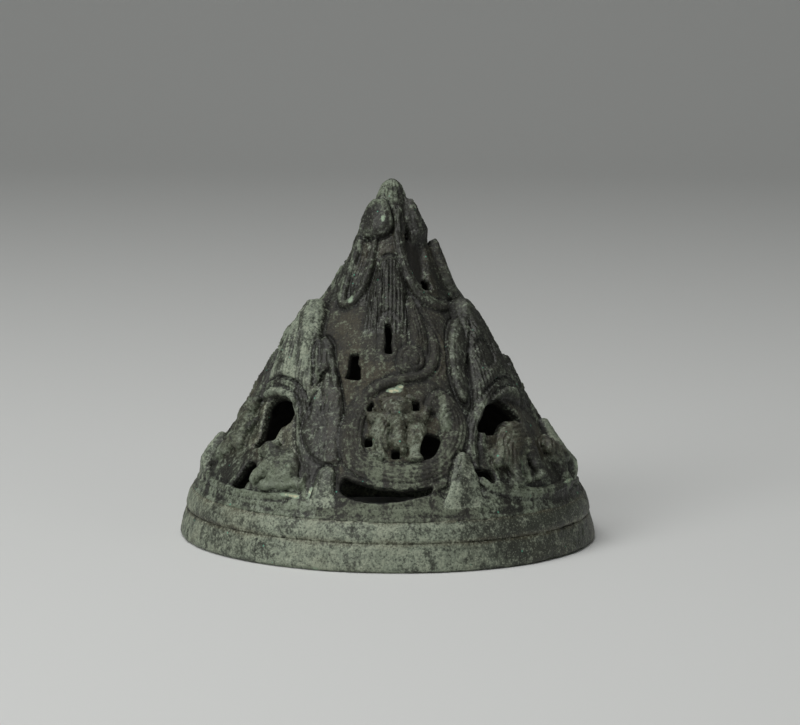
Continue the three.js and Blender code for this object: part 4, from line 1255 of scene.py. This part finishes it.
def bronzePatina(name, look):
    # Cast bronze under mineral patina, with painted shade. The paint on the vertices says where each layer
    # lies, and where shade is painted into creases and onto the inner surfaces
    material = bpy.data.materials.new(name)
    material.use_nodes = True
    tree = material.node_tree
    tree.nodes.clear()
    place = addNode(tree, "TexCoord", {}).outputs["Object"]
    painted = addNode(tree, "Attribute", {"attribute_name": "patinaAndShade"})
    parts = addNode(tree, "SeparateColor", {}, {"Color": painted.outputs["Color"]})
    pale, soil, reliefShade = (parts.outputs[k] for k in range(3))
    inside = painted.outputs["Alpha"]
    crust = addNode(tree, "Attribute", {"attribute_name": "crust"}).outputs["Fac"]
    grains = {}
    for key, (size, detail, rough) in look["grains"].items():
        settings = {"Scale": perMillimetre(size), "Detail": detail, "Roughness": rough}
        grains[key] = addNode(tree, "TexNoise", settings, {"Vector": place}).outputs["Fac"]
    cells = addNode(tree, "TexVoronoi", {"Scale": perMillimetre(3.4)}, {"Vector": place})
    cellPick = addNode(tree, "SeparateColor", {}, {"Color": cells.outputs["Color"]})

    # Each sum starts from a number and adds shares of what lies before it
    sums = {
        # The film is painted paler where the relief stands proud, as painted light
        "film": (
            look["film"] - 1.6, [(pale, 1.25), (reliefShade, 0.9), (grains["mottle"], 1.5), (grains["clouds"], 0.8)],
        ),
        "soil": (-0.65, [(soil, 1), (grains["clouds"], 1), (grains["granules"], 0.3)]),
        "crust": (-0.65, [(crust, 1), (grains["mottle"], 1.3)]),
        "cream": (-0.8, [(crust, 1), (grains["granules"], 1.6)]),
        "pits": (-0.76, [(grains["granules"], 1), (grains["clouds"], 0.75), (grains["mottle"], 0.7)]),
        "light": (
            -0.68, [(grains["granules"], 1.1), (grains["mottle"], 0.9), (pale, 0.15), (grains["clouds"], 0.35)],
        ),
        "fleck": (
            0.5, [(cells.outputs["Distance"], -7), (cellPick.outputs[0], 1.2), (grains["granules"], 0.4)],
        ),
    }
    for key, (start, shares) in sums.items():
        total = addNode(tree, "Value", {})
        total.outputs[0].default_value = start
        for source, weight in shares:
            total = addNode(tree, "Math", {"operation": "MULTIPLY_ADD", 1: weight}, {0: source, 2: total})
        sums[key] = total

    # Source, where it starts and is full, how much of the colour it lays, and the colour
    layers = [
        (sums["film"], 0.1, 1.0, 1.0, look["pale"]),
        (grains["mottle"], 0.52, 0.7, 0.4, look["grey"]),
        (sums["soil"], 0.2, 0.8, look["soil"], look["soilPale"]),
        (sums["soil"], 0.45, 1.0, look["soil"] * 0.7, look["soilDark"]),
        # Painted shade: creases and hollows turn near black
        (reliefShade, 0.47, 0.14, 0.92, look["creviceShadeAndPits"]),
        (sums["light"], 0.56, 0.78, look["grainLight"], look["bloom"]),
        (sums["pits"], 0.46, 0.28, look["grainDark"], look["pit"]),
        (grains["grit"], 0.57, 0.68, look["gritLight"], look["bloom"]),
        (grains["grit"], 0.44, 0.32, 0.7, look["pit"]),
        # Dark pocks at random, in the near black that also paints the shade in creases
        (grains["pocks"], 0.36, 0.28, 0.8, look["creviceShadeAndPits"]),
        (sums["crust"], 0.42, 0.62, 1.0, "#8b9c85"),
        (sums["cream"], 0.7, 0.95, 1.0, "#c4c1a0"),
        (sums["fleck"], 1.12, 1.3, 0.8, "#58a288"),
        # Painted shade over the inner surfaces
        (inside, 0, 1, 0.93, "#1b1914"),
    ]
    colour = addNode(tree, "Mix", {"data_type": "RGBA", 0: 0, 6: linear(look["dark"])}).outputs[2]
    for source, low, high, strength, tint in layers:
        settings = {"interpolation_type": "SMOOTHSTEP", "From Min": low, "From Max": high, "To Max": strength}
        share = addNode(tree, "MapRange", settings, {"Value": source})
        colour = addNode(tree, "Mix", {"data_type": "RGBA", 7: linear(tint)}, {0: share, 6: colour}).outputs[2]

    settings = {"From Max": 1.1, "To Min": look["rough"][0], "To Max": look["rough"][1]}
    gloss = addNode(tree, "MapRange", settings, {"Value": sums["film"]})
    gloss = addNode(tree, "Math", {"operation": "MULTIPLY_ADD", 1: 0.3}, {0: grains["granules"], 2: gloss})
    height = grains["grit"]
    for source, weight in ((grains["granules"], 2.0), (grains["mottle"], 1.6), (grains["pocks"], 0.8)):
        height = addNode(tree, "Math", {"operation": "MULTIPLY_ADD", 1: weight}, {0: source, 2: height})
    bump = addNode(tree, "Bump", {"Strength": 0.8, "Distance": look["bump"] * mm}, {"Height": height})
    shader = addNode(
        tree, "BsdfPrincipled", {"Metallic": look["metal"]},
        {"Base Color": colour, "Roughness": gloss, "Normal": bump},
    )
    addNode(tree, "OutputMaterial", {}, {"Surface": shader})
    return material


# Green mineral film over cast bronze: a dull pale grey-green, broken up by darker grains.
# The real grains are near 0.2 mm, too fine to show, so the finest are drawn at 0.5 mm
paleLook = {
    "dark": "#363a30", "pale": "#788170", "grey": "#62655a", "soilDark": "#38311f", "soilPale": "#5a5440",
    # The near black is painted shade in the creases, and the colour of the pits
    "creviceShadeAndPits": "#14130f", "bloom": "#a3aa95", "pit": "#2a2c23", "film": 0.02, "soil": 0.55,
    "grainLight": 0.55, "grainDark": 0.8, "gritLight": 0.4, "rough": (0.3, 0.52), "bump": 0.11, "metal": 0.1,
    "grains": {
        "clouds": (9, 3, 0.55), "mottle": (2.6, 5, 0.62), "granules": (0.85, 4, 0.62), "grit": (0.5, 2, 0.5),
        "pocks": (1.9, 4, 0.6),
    },
}
# Dark bronze waxed by handling: nearly black green, with painted highlights where it stands proud
darkLook = {
    **paleLook, "dark": "#26261f", "pale": "#69725f", "grey": "#43463d", "bloom": "#858e7d", "pit": "#191914",
    "soilDark": "#2a261b", "soilPale": "#453f2f", "film": -0.12, "soil": 0.6,
    "grainLight": 0.72, "gritLight": 0.26, "rough": (0.34, 0.52), "metal": 0.16,
}
# Recesses that kept a film of burial soil: brown and without gloss, so that they look deep
earthLook = {
    **darkLook, "dark": "#28261f", "pale": "#5c6152", "soilPale": "#423d2d",
    "film": -0.26, "soil": 0.95, "grey": "#43463c", "bloom": "#737b68", "rough": (0.6, 0.72), "metal": 0.05,
}
finishes = {
    "pale_green_bronze": bronzePatina("castBronzeUnderGreenMineralFilm", paleLook),
    "dark_bronze": bronzePatina("darkCastBronzeWaxedByHandling", darkLook),
    "earthy_bronze": bronzePatina("castBronzeWithBurialSoil", earthLook),
}
slotOfNode = {entry["node"]: entry["material_slot"] for entry in frame["record"]["subparts"]}
print("materials", list(finishes), "slots of", len(slotOfNode), "nodes")


# Pieces

def addPiece(node, points, faces, normals, attributes):
    name, slot = "cast_" + node, slotOfNode[node]
    mesh = bpy.data.meshes.new(name)
    mesh.from_pydata((points * mm).tolist(), [], faces.tolist())
    mesh.polygons.foreach_set("use_smooth", np.ones(len(mesh.polygons), dtype=bool))
    for key, values in attributes.items():
        if values.ndim == 1:
            mesh.attributes.new(key, "FLOAT", "POINT").data.foreach_set("value", values.astype(np.float32))
        else:
            layer = mesh.attributes.new(key, "FLOAT_COLOR", "POINT")
            layer.data.foreach_set("color", values.astype(np.float32).ravel())
    mesh.normals_split_custom_set_from_vertices(normals.tolist())
    piece = bpy.data.objects.new(name, mesh)
    bpy.context.collection.objects.link(piece)
    mesh.materials.append(finishes[slot])
    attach(piece, "root")
    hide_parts(node)


def wallOwner(turn, foot):
    names = np.full(len(turn), ownerOf("upper_wall"))
    names[foot >= cover["upperTop"]] = ownerOf("summit_wall")
    for name, bay in bays.items():
        inBay = ((turn - bay["from"]) % 360 < bay["to"] - bay["from"]) & (foot < cover["bayTop"])
        names[inBay] = ownerOf("bay_wall_" + name)
    return names


# How near a face lies to a form that it belongs to, in mm, and in degrees for the figures' reach
labels = {
    "skin": 0.9, "proud": 0.25, "figure": 0.6, "figureReach": 24, "tip": 0.35, "peak": 0.5, "peakTall": 12,
}


def labelFaces():
    # The node that each face goes to, and the one it falls back to on an island too small
    middle = points[faces].mean(axis=1)
    faceTurn, faceFoot, faceLift = toSlope(middle[:, 0], middle[:, 1], middle[:, 2])
    row = np.clip(((faceFoot - mapLow) / mapStep).astype(int), 0, mapShape[0] - 1)
    column = ((faceTurn + 180) / mapStep).astype(int) % mapShape[1]
    label = owner[row, column].astype(int)
    behind = faceLift < np.minimum(relief[row, column], 0) - labels["skin"]
    label[behind] = wallOwner(faceTurn, faceFoot)[behind]
    proud = faceLift > relief[row, column] + labels["proud"]
    closest = np.full(len(middle), labels["figure"])
    for figure in figures:
        near = np.where(np.abs(turnFrom(faceTurn, figure["at"])) < labels["figureReach"])[0]
        distance = figureDistance(figure, faceTurn[near], faceFoot[near], faceLift[near])
        take = (distance < closest[near]) & proud[near]
        label[near[take]] = ownerOf(figure["node"])
        closest[near[take]] = distance[take]
    for tip in freeTips:
        distance = tipDistance(tip, faceTurn, faceFoot, faceLift)
        label[(distance < labels["tip"]) & proud] = ownerOf(tip["name"])
    top = summitDistance(middle[:, 0], middle[:, 1], middle[:, 2])
    atTop = middle[:, 2] > cover["height"] - labels["peakTall"]
    label[(np.abs(top) < labels["peak"]) & atTop] = ownerOf("summit_peak")
    fallback = wallOwner(faceTurn, faceFoot)
    for name in ("summit_peak", *[tip["name"] for tip in freeTips]):
        fallback[label == ownerOf(name)] = ownerOf("summit_wall")
    return label, fallback


def splitMountain():
    label, fallback = labelFaces()
    for _ in range(2):
        for index in np.unique(label):
            picked = np.where(label == index)[0]
            small = picked[islandSizes(faces[picked]) < volume["island"]]
            label[small] = fallback[small]
    made = []
    for index in np.unique(label):
        picked = faces[label == index]
        used, local = np.unique(picked, return_inverse=True)
        values = {key: value[used] for key, value in paint.items()}
        addPiece(owners[index], points[used], local.reshape(-1, 3), normals[used], values)
        made.append(owners[index])
    return made


def rounded(profile, count):
    # Corners of a closed profile cut and smoothed
    shape = np.array(profile, dtype=float)
    for _ in range(count):
        after = np.roll(shape, -1, axis=0)
        shape = np.stack((0.75 * shape + 0.25 * after, 0.25 * shape + 0.75 * after), 1).reshape(-1, 2)
    return shape


def evenly(profile, step):
    closed = np.vstack((profile, profile[:1]))
    length = np.concatenate(([0], np.cumsum(np.hypot(*np.diff(closed, axis=0).T))))
    places = np.linspace(0, length[-1], int(length[-1] / step), endpoint=False)
    return np.stack([np.interp(places, length, closed[:, k]) for k in range(2)], -1)


def revolve(profile, count):
    angle = np.linspace(0, 2 * math.pi, count, endpoint=False)
    radius, height = profile[:, 0], profile[:, 1]
    spun = np.stack((
        radius[None] * np.sin(angle)[:, None], -radius[None] * np.cos(angle)[:, None],
        height[None] * np.ones((count, 1)),
    ), -1).reshape(-1, 3)
    size = len(profile)
    i, j = np.meshgrid(np.arange(count), np.arange(size), indexing="ij")
    a, b = i * size + j, i * size + (j + 1) % size
    c, d = ((i + 1) % count) * size + (j + 1) % size, ((i + 1) % count) * size + j
    quads = np.stack((a, d, c, b), -1).reshape(-1, 4)
    return spun, np.concatenate((quads[:, [0, 1, 2]], quads[:, [0, 2, 3]]))


# Foot ring and shoulder band. Profiles are distances from the rim's radius, and heights
rings = {
    "rim": {
        "pale": 0.62,
        "profile": [
            (-0.9, 0), (0, 0.7), (-0.1, 1.6), (-0.7, 4.5), (-1.52, 7.3), (-1.75, 7.95), (-3.7, 8.1),
            (-4.9, 7.8), (-5.1, 4), (-3.7, 0.6), (-3.4, 0), (-2, 0),
        ],
    },
    "shoulder_band": {
        "pale": 0.66,
        "profile": [
            (-2.15, 7.7), (-1.77, 8.15), (-1.65, 9.2), (-2, 10.6), (-2.55, 12.2), (-3.2, 13.2), (-3.6, 13.85),
            (-4.6, 14.2), (-5.7, 14.3), (-6.5, 13.9), (-5.65, 11), (-5.05, 7.7), (-3.65, 7.7),
        ],
    },
}
ringMesh = {"step": 0.4, "count": 900}
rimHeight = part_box("rim")[1][2] / mm


def castRing(name, profile, pale):
    profile = [(cover["rimRadius"] + inset, height) for inset, height in profile]
    spun, ringFaces = revolve(evenly(rounded(profile, 3), ringMesh["step"]), ringMesh["count"])
    facing = vertexNormals(spun, ringFaces)
    radius = np.hypot(spun[:, 0], spun[:, 1])
    if np.sum(facing[:, 0] * spun[:, 0] * (radius > cover["rimRadius"] - 2)) < 0:
        ringFaces = ringFaces[:, ::-1]
        facing = -facing
    outer = smoothStep(cover["rimRadius"] - 5.4, cover["rimRadius"] - 4.4, radius)
    drawn = np.stack((spun[:, 0], spun[:, 1], spun[:, 2] * 0.22), -1)
    dents = 0.22 * grain(spun, 9, 4) + 0.13 * grain(spun, 3.2, 8)
    flaws = 0.1 * grain(drawn, 1.0, 3) * smoothStep(-0.1, 0.5, grain(spun, 6, 12))
    pits = -0.22 * smoothStep(0.42, 0.75, grain(spun, 1.5, 6))
    shift = (dents + flaws + pits + 0.06 * grain(spun, 0.7, 2)) * (0.4 + 0.6 * outer)
    shift = shift * smoothStep(0, 0.5, spun[:, 2])
    worn = spun + facing * shift[:, None]
    worn[:, 2] = np.maximum(worn[:, 2], 0)
    ringTurn = np.degrees(np.arctan2(spun[:, 0], -spun[:, 1]))
    # The pale film thins out to the left. The right side is painted nearly bare and dark, partly bare bronze
    # and partly painted shade where the light falls off
    right = smoothStep(14, 50, ringTurn) * smoothStep(150, 100, ringTurn)
    paleFilmAndSideShade = pale - 0.16 * smoothStep(-25, -60, ringTurn) - 0.75 * right + 0.15 * grain(spun, 12, 5)
    away = np.minimum(np.abs(spun[:, 2] - rimHeight), np.abs(spun[:, 2] - cover["foot"] - 0.1))
    # Painted shade in the grooves where the rim meets the band and the band meets the mountain, and in the
    # dents of the skin, with painted light on its bumps
    reliefShade = 0.54 - 0.22 * ridge(away, 0, 0.5) * outer + 0.5 * shift
    soil = 0.3 + 0.3 * grain(spun, 10, 3) + 0.5 * ridge(away, 0, 0.9)
    crust = 0.55 * ridge(spun[:, 2], 0.4, 1.2) * smoothStep(0.1, 0.8, grain(spun, 5, 9))
    # The fourth channel paints the ring's inner face dark, as painted shade
    values = {
        "patinaAndShade": np.stack([np.clip(v, 0, 1) for v in (paleFilmAndSideShade, soil, reliefShade, 1 - outer)], -1),
        "crust": np.clip(crust, 0, 1),
    }
    addPiece(name, worn, ringFaces, vertexNormals(worn, ringFaces), values)


for name, ring in rings.items():
    castRing(name, **ring)
made = splitMountain()
left = sorted(set(frame["nodes"]) - {*made, *rings})
print("pieces made:", len(made) + len(rings), "CAD nodes without a piece:", left)


# Floor, light and world

def mattePaper(code):
    # Matte paper sweep: an even pale tone with no gloss
    material = bpy.data.materials.new("mattePaperSweep")
    material.use_nodes = True
    tree = material.node_tree
    tree.nodes.clear()
    shader = addNode(tree, "BsdfPrincipled", {"Base Color": linear(code), "Roughness": 0.9})
    addNode(tree, "OutputMaterial", {}, {"Surface": shader})
    return material


# Sizes in m
paperSweep = {
    "width": 6.0, "front": -2.5, "bendStart": 0.4, "back": 2.2, "height": 3.4, "bend": 1.0, "tone": "#d2d3d1",
}


def addStage():
    # Floor that sweeps up into a backdrop
    back, bend = paperSweep["back"], paperSweep["bend"]
    profile = [(paperSweep["front"], 0), (paperSweep["bendStart"], 0)]
    profile += [
        (back - bend + bend * math.sin(a), bend - bend * math.cos(a)) for a in np.linspace(0, math.pi / 2, 24)
    ]
    profile.append((back, paperSweep["height"]))
    corners = [(side * paperSweep["width"] / 2, y, z) for y, z in profile for side in (-1, 1)]
    quads = [(2 * k, 2 * k + 1, 2 * k + 3, 2 * k + 2) for k in range(len(profile) - 1)]
    mesh = bpy.data.meshes.new("sweep")
    mesh.from_pydata(corners, [], quads)
    mesh.polygons.foreach_set("use_smooth", [True] * len(quads))
    sweep = bpy.data.objects.new("sweep", mesh)
    mesh.materials.append(mattePaper(paperSweep["tone"]))
    bpy.context.collection.objects.link(sweep)


# Places and sizes in m, power in watts
lamps = {
    "overheadSoftbox": {"place": (-0.25, -0.15, 1.15), "size": (0.8, 0.8), "power": 7.5},
    "leftSoftbox": {"place": (-0.85, -1.0, 0.75), "size": (0.7, 0.9), "power": 9.5},
    "rightFill": {"place": (1.1, -0.9, 0.5), "size": (0.7, 0.7), "power": 0.9},
}
lampAim = Vector((0, 0, 0.05))
studioWorld = {"tone": "#d8dad8", "strength": 0.22}


def addLamp(name, place, size, power):
    data = bpy.data.lights.new(name, "AREA")
    data.shape = "RECTANGLE"
    data.size, data.size_y = size
    data.energy = power
    lamp = bpy.data.objects.new(name, data)
    lamp.location = place
    lamp.rotation_euler = (lampAim - Vector(place)).to_track_quat("-Z", "Y").to_euler()
    bpy.context.collection.objects.link(lamp)


addStage()
for name, lamp in lamps.items():
    addLamp(name, **lamp)
world = bpy.data.worlds.new("studio")
world.use_nodes = True
background = world.node_tree.nodes["Background"]
background.inputs["Color"].default_value = linear(studioWorld["tone"])
background.inputs["Strength"].default_value = studioWorld["strength"]
bpy.context.scene.world = world
